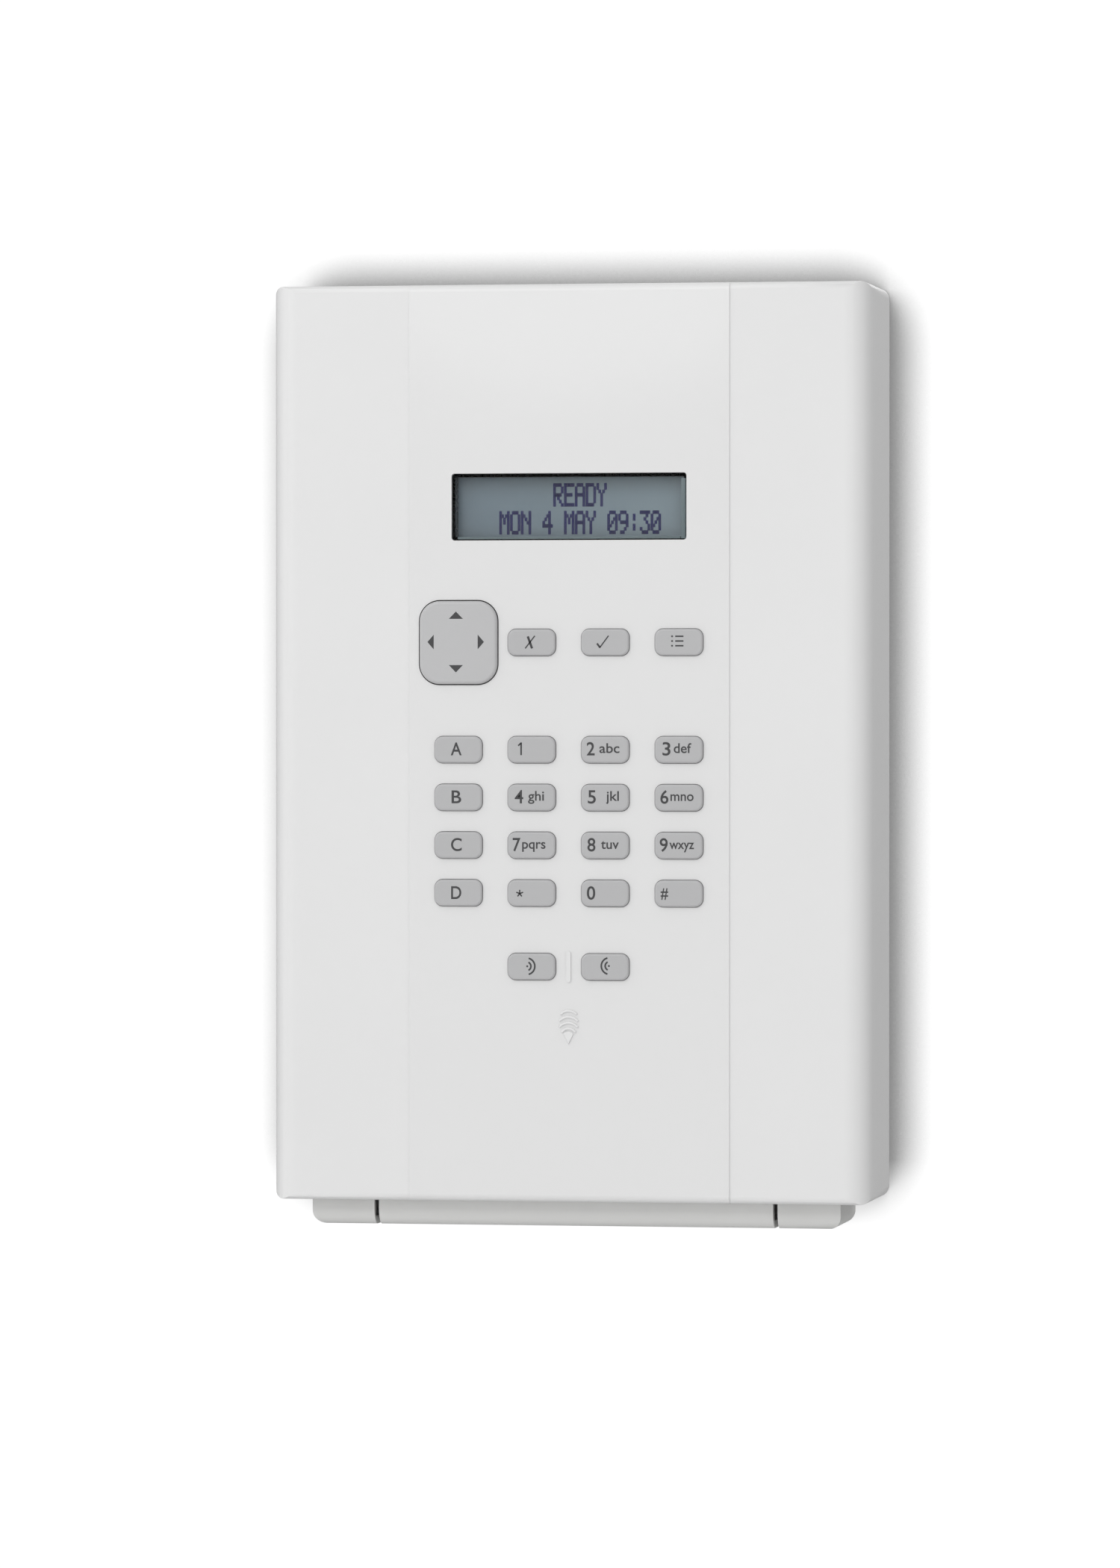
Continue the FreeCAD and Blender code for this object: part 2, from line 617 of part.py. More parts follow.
node("keypad_mat", keypadMat())
node("keypad_board", keypadBoard())
node("key_domes", group("domes", [dome(across, up) for name, across, up in keys]
                        + [dome(f"{navAcross} + {right}", f"menuRowUp + {up}") for right, up in navReach]))
node("keypad_screws", keypadScrews())
node("reader_coil", readerCoil())
node("sounder", sounder())
node("keypad_header", block("header", "22", "5", "6", 0, "keypadBoardDepth - 5.05", "0 - 50"))
node("cover_screws", coverScrews())


# ---- wall tray ----------------------------------------------------------------------------------

trayHeight = "(trayTop - trayBottom)"
trayUp = "((trayTop + trayBottom) / 2)"
lipUp = "(lipBottom + lipHeight / 2)"


def lipSolid(label):
    """The lip's outside: rounded corners as seen from the front, and a round lower front edge."""
    front = plate(label + " front", "lipWidth", "lipHeight", "lipCorner", "lipDepth", 0, 0, lipUp)
    profile = prism(label + " profile", "YZ_Plane", "2 * lipDepth", "lipHeight", "lipFrontRound", "lipWidth",
                    up=lipUp)
    above = block("above lip", "lipWidth + 2", "lipDepth + 2", "lipHeight", 0, 0, "lipTop + lipHeight / 2")
    return cut(label, common(label + " solid", [front, profile]), [above])


def hook(across):
    """A C that holds a hinge pin from behind, open to the front."""
    ring = rod("hook ring", "hookRadius", "hookWidth", across, "hingeDepth", "hingeUp")
    neck = block("hook neck", "hookWidth", "2", "6", across, "0.7", "trayTop + 1")
    bore = rod("hook bore", "hingePinRadius + hingeFit", "hookWidth + 2", across, "hingeDepth", "hingeUp")
    mouth = block("hook mouth", "hookWidth + 2", "4", "2 * hingePinRadius + 0.4", across, "hingeDepth + 0.5",
                  "hingeUp")
    return cut("hook", fuse("hook solid", [ring, neck]), [bore, mouth])


def clampTab(across):
    """A tab with a slot open to the front, which a closing screw swings into."""
    tab = block("tab", "12", "8", "1.6", across, "lipDepth - 1", "lipTop - 0.8")
    slot = block("tab slot", "3.6", "6", "3", across, "clampScrewDepth - 1.9", "lipTop - 0.8")
    return cut("slotted tab", tab, [slot])


def standoff(across, up, height, radius="3.2"):
    outer = post("standoff", radius, f"{height} - trayFloor / 2", across, "trayFloor / 2", up)
    return cut("bored standoff", outer, [post("pilot", "pilotRadius", "4", across, f"{height} - 4", up)])


def aerialClip(across, up):
    clip = block("aerial clip", "5", "8.6", "4", across, "trayFloor - 0.2", up)
    return cut("bored clip", clip, [upright("clip bore", "1.3", "8", across, "8", f"{up} - 4")])


def prongBracket(across):
    bracket = block("bracket", "10", "5.4", "6", across, "trayFloor - 0.2", "0 - 111")
    hole = block("prong hole", "6.6", "2.6", "8", across, "3.3", "0 - 111")
    return cut("bracket with hole", bracket, [hole])


def rearBase():
    tray = plate("tray", "trayWidth", trayHeight, "2", "trayRim", 0, 0, trayUp)
    inside = plate("tray inside", "trayWidth - 2 * trayWall", f"{trayHeight} - 2 * trayWall", "1", "trayRim",
                   0, "trayFloor", trayUp)
    housing = fuse("housing", [cut("open tray", tray, [inside]), lipSolid("lip")])
    lipInside = block("lip inside", "lipWidth - 2 * coverWall", "lipDepth - coverWall - trayFloor", "24", 0,
                      "trayFloor", "lipBottom + coverWall + 12")
    bay = block("cable cover bay", "2 * slitAcross + slitWidth", "lipDepth", "lipTop - lipBottom + 2", 0,
                "trayFloor", "(lipTop + lipBottom) / 2")
    cableHole = plate("cable hole", "cableHoleWidth", "cableHoleHeight", "3", "trayFloor * 3", 0,
                      "0 - trayFloor", "cableHoleUp")
    tools = [lipInside, bay, cableHole]
    tools += [post("wall hole", "wallHoleRadius", "trayFloor * 3", right + "wallHoleAcross", "0 - trayFloor",
                   up + "wallHoleUp") for right in ("", "0 - ") for up in ("", "0 - ")]
    additions = []
    for side in ("", "0 - "):
        additions.append(hook(side + "hookAcross"))
        additions.append(clampTab(side + "clampScrewAcross"))
        additions.append(prongBracket(side + "prongAcross"))
        for up in (" + mainScrewUp", " - mainScrewUp"):
            additions.append(standoff(side + "mainScrewAcross", "mainBoardUp" + up, "mainBoardDepth"))
        for up in ("20", "0 - 20"):
            additions.append(aerialClip(side + "aerialAcross", f"40 + {up}"))
        additions.append(standoff(side + "22", "0 - 80", "5", "3.6"))
    return fuse("rear_base", [cut("cut housing", housing, tools)] + additions)


def cableCover():
    """The middle of the lip: front wall, bottom wall and two prongs that slide up into the tray."""
    middle = block("cover middle", "2 * slitAcross - slitWidth", "lipDepth", "20", 0,
                   "trayFloor + cableCoverGap", "lipBottom + 5")
    piece = common("cable cover solid", [lipSolid("cable lip"), middle])
    hollow = block("cable cover hollow", "2 * slitAcross + 10", "lipDepth - coverWall - trayFloor", "24", 0,
                   "trayFloor - 1", "lipBottom + coverWall + 12")
    prongs = [block("prong", "6", "2", "20", side + "prongAcross", "3.6", "lipBottom + 12")
              for side in ("", "0 - ")]
    return fuse("cable_cover", [cut("cable cover shell", piece, [hollow])] + prongs)


node("rear_base", rearBase())
node("cable_cover", cableCover())


# ---- wall-side electronics ----------------------------------------------------------------------

mainTop = "(mainBoardDepth + boardThick + 0.05)"


def mainBoard():
    board = plate("main board", "mainBoardWidth", "mainBoardHeight", "2", "boardThick", 0, "mainBoardDepth",
                  "mainBoardUp")
    holes = [post("hole", "1.6", "3", side + "mainScrewAcross", "mainBoardDepth - 0.5", "mainBoardUp" + up)
             for side in ("", "0 - ") for up in (" + mainScrewUp", " - mainScrewUp")]
    return cut("board", board, holes)


def wallwardScrew(across, depth, up, length):
    """A pan-head screw driven towards the wall, with its head's seat at this depth."""
    head = post("head", "2.3", "1.5", across, depth, up)
    recess = block("driver slot", "3.2", "0.8", "0.7", across, f"{depth} + 0.8", up)
    shank = post("shank", "pilotRadius - 0.05", length, across, f"{depth} - {length}", up)
    return fuse("screw", [cut("slotted head", head, [recess]), shank])


def baseScrews():
    screws = []
    for side in ("", "0 - "):
        screws += [wallwardScrew(side + "mainScrewAcross", "mainBoardDepth + boardThick", "mainBoardUp" + up,
                                 "4")
                   for up in (" + mainScrewUp", " - mainScrewUp")]
        screws.append(wallwardScrew(side + "22", "9", "0 - 80", "6"))
    return group("screws", screws)


terminalPitch = 5
terminalCount = 8
terminalAcross = [(side, (number - (terminalCount - 1) / 2) * terminalPitch)
                  for side in ("23", "0 - 23") for number in range(terminalCount)]


def terminalBlocks():
    blocks = []
    for side in ("23", "0 - 23"):
        body = block("terminal block", "41", "9", "10", side, mainTop, "0 - 56")
        tools = []
        for centre, offset in terminalAcross:
            if centre == side:
                across = f"{side} + {offset}"
                tools.append(block("wire mouth", "3", "3.4", "6", across, f"{mainTop} + 1.6", "0 - 61"))
                tools.append(post("screw well", "1.9", "3", across, f"{mainTop} + 6.5", "0 - 55.5"))
        blocks.append(cut("bored block", body, tools))
    return group("blocks", blocks)


def terminalScrews():
    screws = []
    for side, offset in terminalAcross:
        head = post("terminal screw", "1.8", "1.6", f"{side} + {offset}", f"{mainTop} + 6.5", "0 - 55.5")
        slot = block("driver slot", "2.8", "0.8", "0.6", f"{side} + {offset}", f"{mainTop} + 7.6", "0 - 55.5")
        screws.append(cut("terminal screw", head, [slot]))
    return group("terminal screws", screws)


def batteryHolder():
    tray = plate("holder", "batteryWidth", "batteryHeight", "2", "13.5", 0, "trayFloor + 0.05", "batteryUp")
    inside = block("holder inside", "batteryWidth - 4", "13.5", "batteryHeight - 4", 0, "trayFloor + 1.3",
                   "batteryUp")
    finger = block("finger gap", "16", "8", "batteryHeight + 2", 0, "trayFloor + 8", "batteryUp")
    return cut("holder", tray, [inside, finger])


cellPlaces = [(side, up) for side in ("0 - 25.9", "25.9") for up in ("batteryUp - 7.3", "batteryUp + 7.3")]


def batteryCells():
    cells = []
    for side, up in cellPlaces:
        cell = rod("cell", "cellRadius", "cellLength - 1", side + " - 0.5", "trayFloor + 1.4 + cellRadius",
                   up)
        button = rod("cell button", "2.6", "1", f"{side} + cellLength / 2 - 0.5",
                     "trayFloor + 1.4 + cellRadius", up)
        cells.append(fuse("cell", [cell, button]))
    return group("cells", cells)


def batteryContacts():
    plates = []
    for side in ("", "0 - "):
        plates.append(block("contact", "0.4", "9", "24", f"{side}52.7", "trayFloor + 3", "batteryUp"))
    return group("contacts", plates)


def canModule(across, up, width, height):
    """A small board on pins with a screening can."""
    board = plate("module board", width, height, "1", "1.2", across, f"{mainTop} + 3", up)
    can = plate("can", f"{width} - 8", f"{height} - 12", "1.2", "2.6", across, f"{mainTop} + 4.1",
                f"{up} + 3")
    pins = block("pins", f"{width} - 6", "3.2", "2.2", across, mainTop, f"{up} - ({height}) / 2 + 2.5")
    return fuse("module", [board, can, pins])


def capacitors():
    cans = []
    wanted = [(-42, -32, 5, 11), (-29, -32, 5, 11), (-42, -18, 3.2, 8), (-33, -19, 3.2, 8)]
    for across, up, radius, height in wanted:
        cans.append(post("capacitor", radius, height, f"0 + {across}", mainTop, f"0 + {up}"))
    return group("capacitors", cans)


def boardChips():
    chips = []
    for across, up, width, height in [(0, -6, 14, 14), (14, -30, 10, 6), (-12, -32, 8, 12), (0, 14, 8, 5)]:
        chips.append(block("chip", width, "1.7", height, f"0 + {across}", mainTop, f"0 + {up}"))
    return group("chips", chips)


def aerials():
    rods = [upright("aerial", "1.2", "aerialLength", side + "aerialAcross", "8", "5")
            for side in ("", "0 - ")]
    return group("aerials", rods)


def tamperSwitch():
    body = block("switch body", "10", "10", "12", "tamperAcross", "trayFloor + 0.05", "tamperUp")
    bore = post("plunger bore", "tamperRodRadius + 0.08", "8", "tamperAcross", "trayFloor + 4", "tamperUp")
    return cut("switch", body, [bore])


def tamperPlunger():
    rodDepth = "(trayFloor + 6.4)"
    stem = post("plunger rod", "tamperRodRadius", f"tamperTop - {rodDepth}", "tamperAcross", rodDepth,
                "tamperUp")
    head = post("plunger head", "2.6", "1.4", "tamperAcross", "tamperTop - 1.4", "tamperUp")
    return fuse("plunger", [stem, head])


def cableClamp():
    bar = plate("clamp bar", "54", "7", "1.5", "3.9", 0, "5.05", "0 - 80")
    channel = block("clamp channel", "30", "1.6", "9", 0, "4.6", "0 - 80")
    holes = [post("hole", "1.6", "6", side + "22", "4.5", "0 - 80") for side in ("", "0 - ")]
    return cut("clamp", bar, [channel] + holes)


node("main_board", mainBoard())
node("base_screws", baseScrews())
node("terminal_blocks", terminalBlocks())
node("terminal_screws", terminalScrews())
node("battery_holder", batteryHolder())
node("battery_cells", batteryCells())
node("battery_contacts", batteryContacts())
node("radio_module", canModule("0 - 26", "30", "38", "36"))
node("comms_module", canModule("26", "30", "42", "40"))
node("capacitors", capacitors())
node("board_chips", boardChips())
node("power_choke", plate("choke", "20", "18", "1.5", "11", "36", mainTop, "0 - 30"))
node("main_header", block("main header", "22", "7", "6", 0, mainTop, "0 - 20"))
node("aerials", aerials())
node("tamper_switch", tamperSwitch())
node("tamper_plunger", tamperPlunger())
node("cable_clamp", cableClamp())


# ---- checks and files ---------------------------------------------------------------------------

doc.recompute()
for thing in doc.Objects:
    for state in ("Invalid", "Error"):
        if state in thing.State:
            raise RuntimeError(f"{thing.Label} ({thing.Name}) is {state}")
os.makedirs("parts", exist_ok=True)
for name, thing in nodes.items():
    if thing.Shape.isNull() or not thing.Shape.isValid() or not thing.Shape.Solids:
        raise RuntimeError(f"{name} has no valid shape")
    thing.Shape.exportStep(f"parts/{name}.step")
print(len(nodes), "sub-parts written")
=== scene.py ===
import json
import math

import bmesh
import bpy
from mathutils import Matrix, Vector

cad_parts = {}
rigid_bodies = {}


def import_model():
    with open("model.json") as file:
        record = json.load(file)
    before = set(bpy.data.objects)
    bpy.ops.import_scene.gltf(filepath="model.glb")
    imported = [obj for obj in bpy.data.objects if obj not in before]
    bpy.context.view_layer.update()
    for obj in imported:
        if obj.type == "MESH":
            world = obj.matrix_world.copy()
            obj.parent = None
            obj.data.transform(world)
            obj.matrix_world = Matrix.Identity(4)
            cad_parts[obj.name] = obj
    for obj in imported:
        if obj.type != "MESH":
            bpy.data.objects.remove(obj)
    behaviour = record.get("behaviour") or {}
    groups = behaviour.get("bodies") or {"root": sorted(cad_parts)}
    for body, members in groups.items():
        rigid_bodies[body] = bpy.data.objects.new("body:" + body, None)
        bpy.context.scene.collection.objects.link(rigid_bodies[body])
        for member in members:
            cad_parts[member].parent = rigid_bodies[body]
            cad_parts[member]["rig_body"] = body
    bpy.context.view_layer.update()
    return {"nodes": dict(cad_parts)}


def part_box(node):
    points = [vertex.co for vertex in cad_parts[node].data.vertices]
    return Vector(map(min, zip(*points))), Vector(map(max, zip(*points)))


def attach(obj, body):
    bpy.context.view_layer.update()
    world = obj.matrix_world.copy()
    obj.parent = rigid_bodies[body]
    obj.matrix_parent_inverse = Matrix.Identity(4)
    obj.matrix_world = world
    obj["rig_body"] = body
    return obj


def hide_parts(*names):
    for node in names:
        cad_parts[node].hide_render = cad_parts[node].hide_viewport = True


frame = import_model()
nodes = frame["nodes"]
bodyOfNode = {name: thing["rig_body"] for name, thing in nodes.items()}
mm = 0.001
facingFront = (math.pi / 2, 0, 0)  # turns a flat shape from the floor up to the panel's face
print("frame loaded:", len(nodes), "nodes")


# handling pieces

def deselectAll():
    if bpy.context.object and bpy.context.object.mode != "OBJECT":
        bpy.ops.object.mode_set(mode="OBJECT")
    bpy.ops.object.select_all(action="DESELECT")


def pick(*things):
    deselectAll()
    for thing in things:
        thing.select_set(True)
    bpy.context.view_layer.objects.active = things[0]
    return things[0]


def joined(things):
    piece = pick(*things)
    if len(things) > 1:
        bpy.ops.object.join()
    return bpy.context.object


def freeze(piece):
    pick(piece)
    bpy.ops.object.transform_apply(location=True, rotation=True, scale=True)
    return piece


def settle(piece, name, finish, body, stands=()):
    # names the piece, gives it its finish and lets it ride on its body
    freeze(piece)
    piece.name = name
    piece.data.name = name
    piece.data.materials.clear()
    piece.data.materials.append(finish)
    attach(piece, body)
    if stands:
        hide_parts(*stands)
    deselectAll()
    return piece


def applied(piece, kind, **settings):
    pick(piece)
    modifier = piece.modifiers.new(kind.lower(), kind)
    for key, setting in settings.items():
        setattr(modifier, key, setting)
    bpy.ops.object.modifier_apply(modifier=modifier.name)
    return piece


def outward(piece):
    pick(piece)
    bpy.ops.object.mode_set(mode="EDIT")
    bpy.ops.mesh.select_all(action="SELECT")
    bpy.ops.mesh.remove_doubles(threshold=0.000002)
    bpy.ops.mesh.normals_make_consistent(inside=False)
    bpy.ops.object.mode_set(mode="OBJECT")
    return piece


def smooth(piece, angle=35):
    pick(piece)
    bpy.ops.object.shade_smooth_by_angle(angle=math.radians(angle))
    return piece


def chooseFaces(piece, test):
    # leaves the piece in edit mode with only the faces that pass the test selected
    pick(piece)
    bpy.ops.object.mode_set(mode="EDIT")
    bpy.ops.mesh.select_mode(type="FACE")
    bpy.ops.mesh.select_all(action="DESELECT")
    mesh = bmesh.from_edit_mesh(piece.data)
    for face in mesh.faces:
        face.select = test(face)
    mesh.select_flush_mode()
    bmesh.update_edit_mesh(piece.data)


def backToObject():
    bpy.ops.object.mode_set(mode="OBJECT")


def sunk(piece, side, rim, depth):
    # insets the face on that side along Y and moves it in by depth, or out where depth is negative
    chooseFaces(piece, lambda face: face.normal.y * side > 0.9)
    bpy.ops.mesh.inset(thickness=rim)
    bpy.ops.mesh.extrude_region_move(TRANSFORM_OT_translate={"value": (0, -side * depth, 0)})
    backToObject()
    return piece


def flatShape(corners, across, front, up, thickness):
    # a thin plate in the plane of the panel's face, from corners in mm about a place in metres
    deselectAll()
    bpy.ops.mesh.primitive_circle_add(vertices=len(corners), radius=mm, fill_type="NGON",
                                      rotation=facingFront)
    piece = freeze(bpy.context.object)
    for vertex, corner in zip(piece.data.vertices, corners):
        vertex.co = (across + corner[0] * mm, front, up + corner[1] * mm)
    applied(piece, "SOLIDIFY", thickness=thickness, offset=0)
    return outward(piece)


def brick(low, high):
    # a plain block between two corners in metres, ready to be shaped
    deselectAll()
    centre = [(a + b) / 2 for a, b in zip(low, high)]
    size = [b - a for a, b in zip(low, high)]
    bpy.ops.mesh.primitive_cube_add(size=1, location=centre)
    piece = bpy.context.object
    piece.scale = size
    return freeze(piece)


def roundedBrick(low, high, edge, segments=3):
    piece = brick(low, high)
    applied(piece, "BEVEL", width=edge, segments=segments, limit_method="NONE")
    return smooth(piece, 40)


def peg(centre, radius, length, sides=32):
    # a short round bar that lies front to back
    deselectAll()
    bpy.ops.mesh.primitive_cylinder_add(vertices=sides, radius=radius, depth=length, location=centre,
                                        rotation=facingFront)
    return freeze(bpy.context.object)


def softened(piece, width, segments=2, angle=35):
    # a fine round along the sharp edges, with the flat faces kept flat in shading
    applied(piece, "BEVEL", width=width, segments=segments, limit_method="ANGLE",
            angle_limit=math.radians(angle))
    smooth(piece, 40)
    return applied(piece, "WEIGHTED_NORMAL", weight=100, keep_sharp=True)


def copyOfNode(name):
    # a merged copy of a frame node, so that its loose triangles become clean faces
    source = nodes[name]
    piece = source.copy()
    piece.data = source.data.copy()
    bpy.context.scene.collection.objects.link(piece)
    piece.parent = None
    for key in list(piece.keys()):
        del piece[key]
    pick(piece)
    bpy.ops.mesh.customdata_custom_splitnormals_clear()
    bpy.ops.object.mode_set(mode="EDIT")
    bpy.ops.mesh.select_all(action="SELECT")
    bpy.ops.mesh.remove_doubles(threshold=0.000004)
    bpy.ops.mesh.dissolve_limited(angle_limit=math.radians(0.4))
    bpy.ops.object.mode_set(mode="OBJECT")
    return piece


def twinOf(piece, move):
    twin = piece.copy()
    twin.data = piece.data.copy()
    bpy.context.scene.collection.objects.link(twin)
    twin.data.transform(Matrix.Translation(move))
    return twin


# finishes

def newGroup(name, inputs, outputs):
    group = bpy.data.node_groups.new(name, "ShaderNodeTree")
    for label, kind, default in inputs:
        socket = group.interface.new_socket(name=label, in_out="INPUT", socket_type=kind)
        if default is not None:
            socket.default_value = default
    for label, kind in outputs:
        group.interface.new_socket(name=label, in_out="OUTPUT", socket_type=kind)
    return group


def ranged(tree, value, fromLow, fromHigh, toLow=0, toHigh=1):
    # maps a socket's value from one range of numbers to another
    node = tree.nodes.new("ShaderNodeMapRange")
    tree.links.new(value, node.inputs["Value"])
    node.inputs["From Min"].default_value = fromLow
    node.inputs["From Max"].default_value = fromHigh
    node.inputs["To Min"].default_value = toLow
    node.inputs["To Max"].default_value = toHigh
    return node


def worked(tree, operation, first, second):
    # one Math operation on two sockets
    node = tree.nodes.new("ShaderNodeMath")
    node.operation = operation
    tree.links.new(first, node.inputs[0])
    tree.links.new(second, node.inputs[1])
    return node.outputs[0]


def mouldedSurfaceGroup():
    # fine grain, slow tone change and rare dust specks of a moulded surface
    group = newGroup(
        "mouldedSurface",
        [("Place", "NodeSocketVector", None), ("Colour", "NodeSocketColor", (0.8, 0.8, 0.8, 1)),
         ("Tone change", "NodeSocketFloat", 0.03), ("Grain size", "NodeSocketFloat", 2500.0),
         ("Grain depth", "NodeSocketFloat", 0.05), ("Gloss low", "NodeSocketFloat", 0.3),
         ("Gloss high", "NodeSocketFloat", 0.4), ("Specks", "NodeSocketFloat", 0.2)],
        [("Colour", "NodeSocketColor"), ("Roughness", "NodeSocketFloat"), ("Normal", "NodeSocketVector")])
    tree, link = group.nodes, group.links.new
    enter, leave = tree.new("NodeGroupInput"), tree.new("NodeGroupOutput")
    slow = tree.new("ShaderNodeTexNoise")
    slow.inputs["Scale"].default_value = 22
    slow.inputs["Detail"].default_value = 3
    link(enter.outputs["Place"], slow.inputs["Vector"])
    toneLow = tree.new("ShaderNodeMath")
    toneLow.operation = "SUBTRACT"
    toneLow.inputs[0].default_value = 1
    link(enter.outputs["Tone change"], toneLow.inputs[1])
    tone = ranged(group, slow.outputs["Fac"], 0.3, 0.7)
    link(toneLow.outputs[0], tone.inputs["To Min"])
    toned = tree.new("ShaderNodeMix")
    toned.data_type = "RGBA"
    toned.blend_type = "MULTIPLY"
    toned.inputs["Factor"].default_value = 1
    link(enter.outputs["Colour"], toned.inputs["A"])
    link(tone.outputs["Result"], toned.inputs["B"])
    dots = tree.new("ShaderNodeTexVoronoi")
    dots.inputs["Scale"].default_value = 95
    link(enter.outputs["Place"], dots.inputs["Vector"])
    near = ranged(group, dots.outputs["Distance"], 0.035, 0.02)
    rare = tree.new("ShaderNodeTexNoise")
    rare.inputs["Scale"].default_value = 40
    link(enter.outputs["Place"], rare.inputs["Vector"])
    rareMask = ranged(group, rare.outputs["Fac"], 0.62, 0.68)
    speck = worked(group, "MULTIPLY", near.outputs["Result"], rareMask.outputs["Result"])
    speckAmount = worked(group, "MULTIPLY", speck, enter.outputs["Specks"])
    specked = tree.new("ShaderNodeMix")
    specked.data_type = "RGBA"
    link(speckAmount, specked.inputs["Factor"])
    link(toned.outputs["Result"], specked.inputs["A"])
    specked.inputs["B"].default_value = (0.3, 0.29, 0.27, 1)
    grain = tree.new("ShaderNodeTexNoise")
    grain.inputs["Detail"].default_value = 4
    link(enter.outputs["Place"], grain.inputs["Vector"])
    link(enter.outputs["Grain size"], grain.inputs["Scale"])
    gloss = ranged(group, grain.outputs["Fac"], 0.3, 0.7)
    link(enter.outputs["Gloss low"], gloss.inputs["To Min"])
    link(enter.outputs["Gloss high"], gloss.inputs["To Max"])
    bump = tree.new("ShaderNodeBump")
    bump.inputs["Distance"].default_value = 0.00005
    link(enter.outputs["Grain depth"], bump.inputs["Strength"])
    link(grain.outputs["Fac"], bump.inputs["Height"])
    link(specked.outputs["Result"], leave.inputs["Colour"])
    link(gloss.outputs["Result"], leave.inputs["Roughness"])
    link(bump.outputs["Normal"], leave.inputs["Normal"])
    return group


mouldedSurface = mouldedSurfaceGroup()


def newFinish(name, **shader):
    finish = bpy.data.materials.new(name)
    finish.use_nodes = True
    principled = finish.node_tree.nodes["Principled BSDF"]
    for socket, setting in shader.items():
        principled.inputs[socket.replace("_", " ")].default_value = setting
    return finish, finish.node_tree, principled


def surfaced(tree, principled, place, settings):
    # lays the moulded surface over a finish, with place as the socket for its texture position
    surface = tree.nodes.new("ShaderNodeGroup")
    surface.node_tree = mouldedSurface
    tree.links.new(place, surface.inputs["Place"])
    for label, setting in settings.items():
        surface.inputs[label].default_value = setting
    tree.links.new(surface.outputs["Colour"], principled.inputs["Base Color"])
    tree.links.new(surface.outputs["Roughness"], principled.inputs["Roughness"])
    tree.links.new(surface.outputs["Normal"], principled.inputs["Normal"])
    return surface


def moulded(name, colour, tone, grain, depth, low, high, specks):
    finish, tree, principled = newFinish(name)
    place = tree.nodes.new("ShaderNodeTexCoord")
    surfaced(tree, principled, place.outputs["Object"],
             {"Colour": (*colour, 1), "Tone change": tone, "Grain size": grain, "Grain depth": depth,
              "Gloss low": low, "Gloss high": high, "Specks": specks})
    return finish


# colour, tone change, grain size, grain depth, lowest and highest roughness, specks
finishes = {
    "coverWhite": moulded("coverWhite", (0.64, 0.64, 0.64), 0.015, 1800, 0.03, 0.36, 0.44, 0.35),
    "bandWhite": moulded("bandWhite", (0.63, 0.63, 0.63), 0.01, 900, 0.004, 0.07, 0.1, 0.35),
    "trayWhite": moulded("trayWhite", (0.6, 0.6, 0.59), 0.03, 1500, 0.12, 0.45, 0.6, 0.2),
    "keyGrey": moulded("keyGrey", (0.385, 0.385, 0.39), 0.03, 2200, 0.1, 0.42, 0.52, 0.15),
    "rockerGrey": moulded("rockerGrey", (0.415, 0.415, 0.42), 0.03, 2200, 0.1, 0.42, 0.52, 0.15),
    "legendInk": moulded("legendInk", (0.035, 0.035, 0.037), 0.1, 3000, 0.05, 0.5, 0.6, 0.0),
    "bezelBlack": moulded("bezelBlack", (0.004, 0.004, 0.006), 0.1, 1500, 0.05, 0.2, 0.35, 0.1),
    "blackPlastic": moulded("blackPlastic", (0.02, 0.02, 0.021), 0.1, 1800, 0.2, 0.4, 0.55, 0.2),
    "siliconeGrey": moulded("siliconeGrey", (0.42, 0.42, 0.42), 0.04, 1200, 0.1, 0.55, 0.7, 0.1),
    "terminalGreen": moulded("terminalGreen", (0.02, 0.22, 0.08), 0.05, 1500, 0.1, 0.35, 0.45, 0.1),
    "cellWrap": moulded("cellWrap", (0.02, 0.09, 0.28), 0.05, 900, 0.03, 0.2, 0.3, 0.1),
    "lightGuide": moulded("lightGuide", (0.7, 0.72, 0.72), 0.03, 900, 0.03, 0.25, 0.35, 0.0),
    "filmAmber": moulded("filmAmber", (0.42, 0.2, 0.04), 0.05, 900, 0.02, 0.2, 0.3, 0.0),
}


def metal(name, colour, low, high, stretch=(1, 1, 1)):
    finish, tree, principled = newFinish(name, Metallic=1.0)
    place = tree.nodes.new("ShaderNodeTexCoord")
    mapping = tree.nodes.new("ShaderNodeMapping")
    mapping.inputs["Scale"].default_value = stretch
    tree.links.new(place.outputs["Object"], mapping.inputs["Vector"])
    surfaced(tree, principled, mapping.outputs["Vector"],
             {"Colour": (*colour, 1), "Tone change": 0.15, "Grain size": 1500, "Grain depth": 0.08,
              "Gloss low": low, "Gloss high": high, "Specks": 0.0})
    return finish


finishes["steel"] = metal("steel", (0.62, 0.62, 0.6), 0.25, 0.38)
finishes["canSteel"] = metal("canSteel", (0.7, 0.7, 0.68), 0.22, 0.34, (1, 1, 0.08))
finishes["copper"] = metal("copper", (0.8, 0.38, 0.2), 0.25, 0.4, (1, 1, 0.1))
finishes["solder"] = metal("solder", (0.75, 0.75, 0.74), 0.15, 0.25)


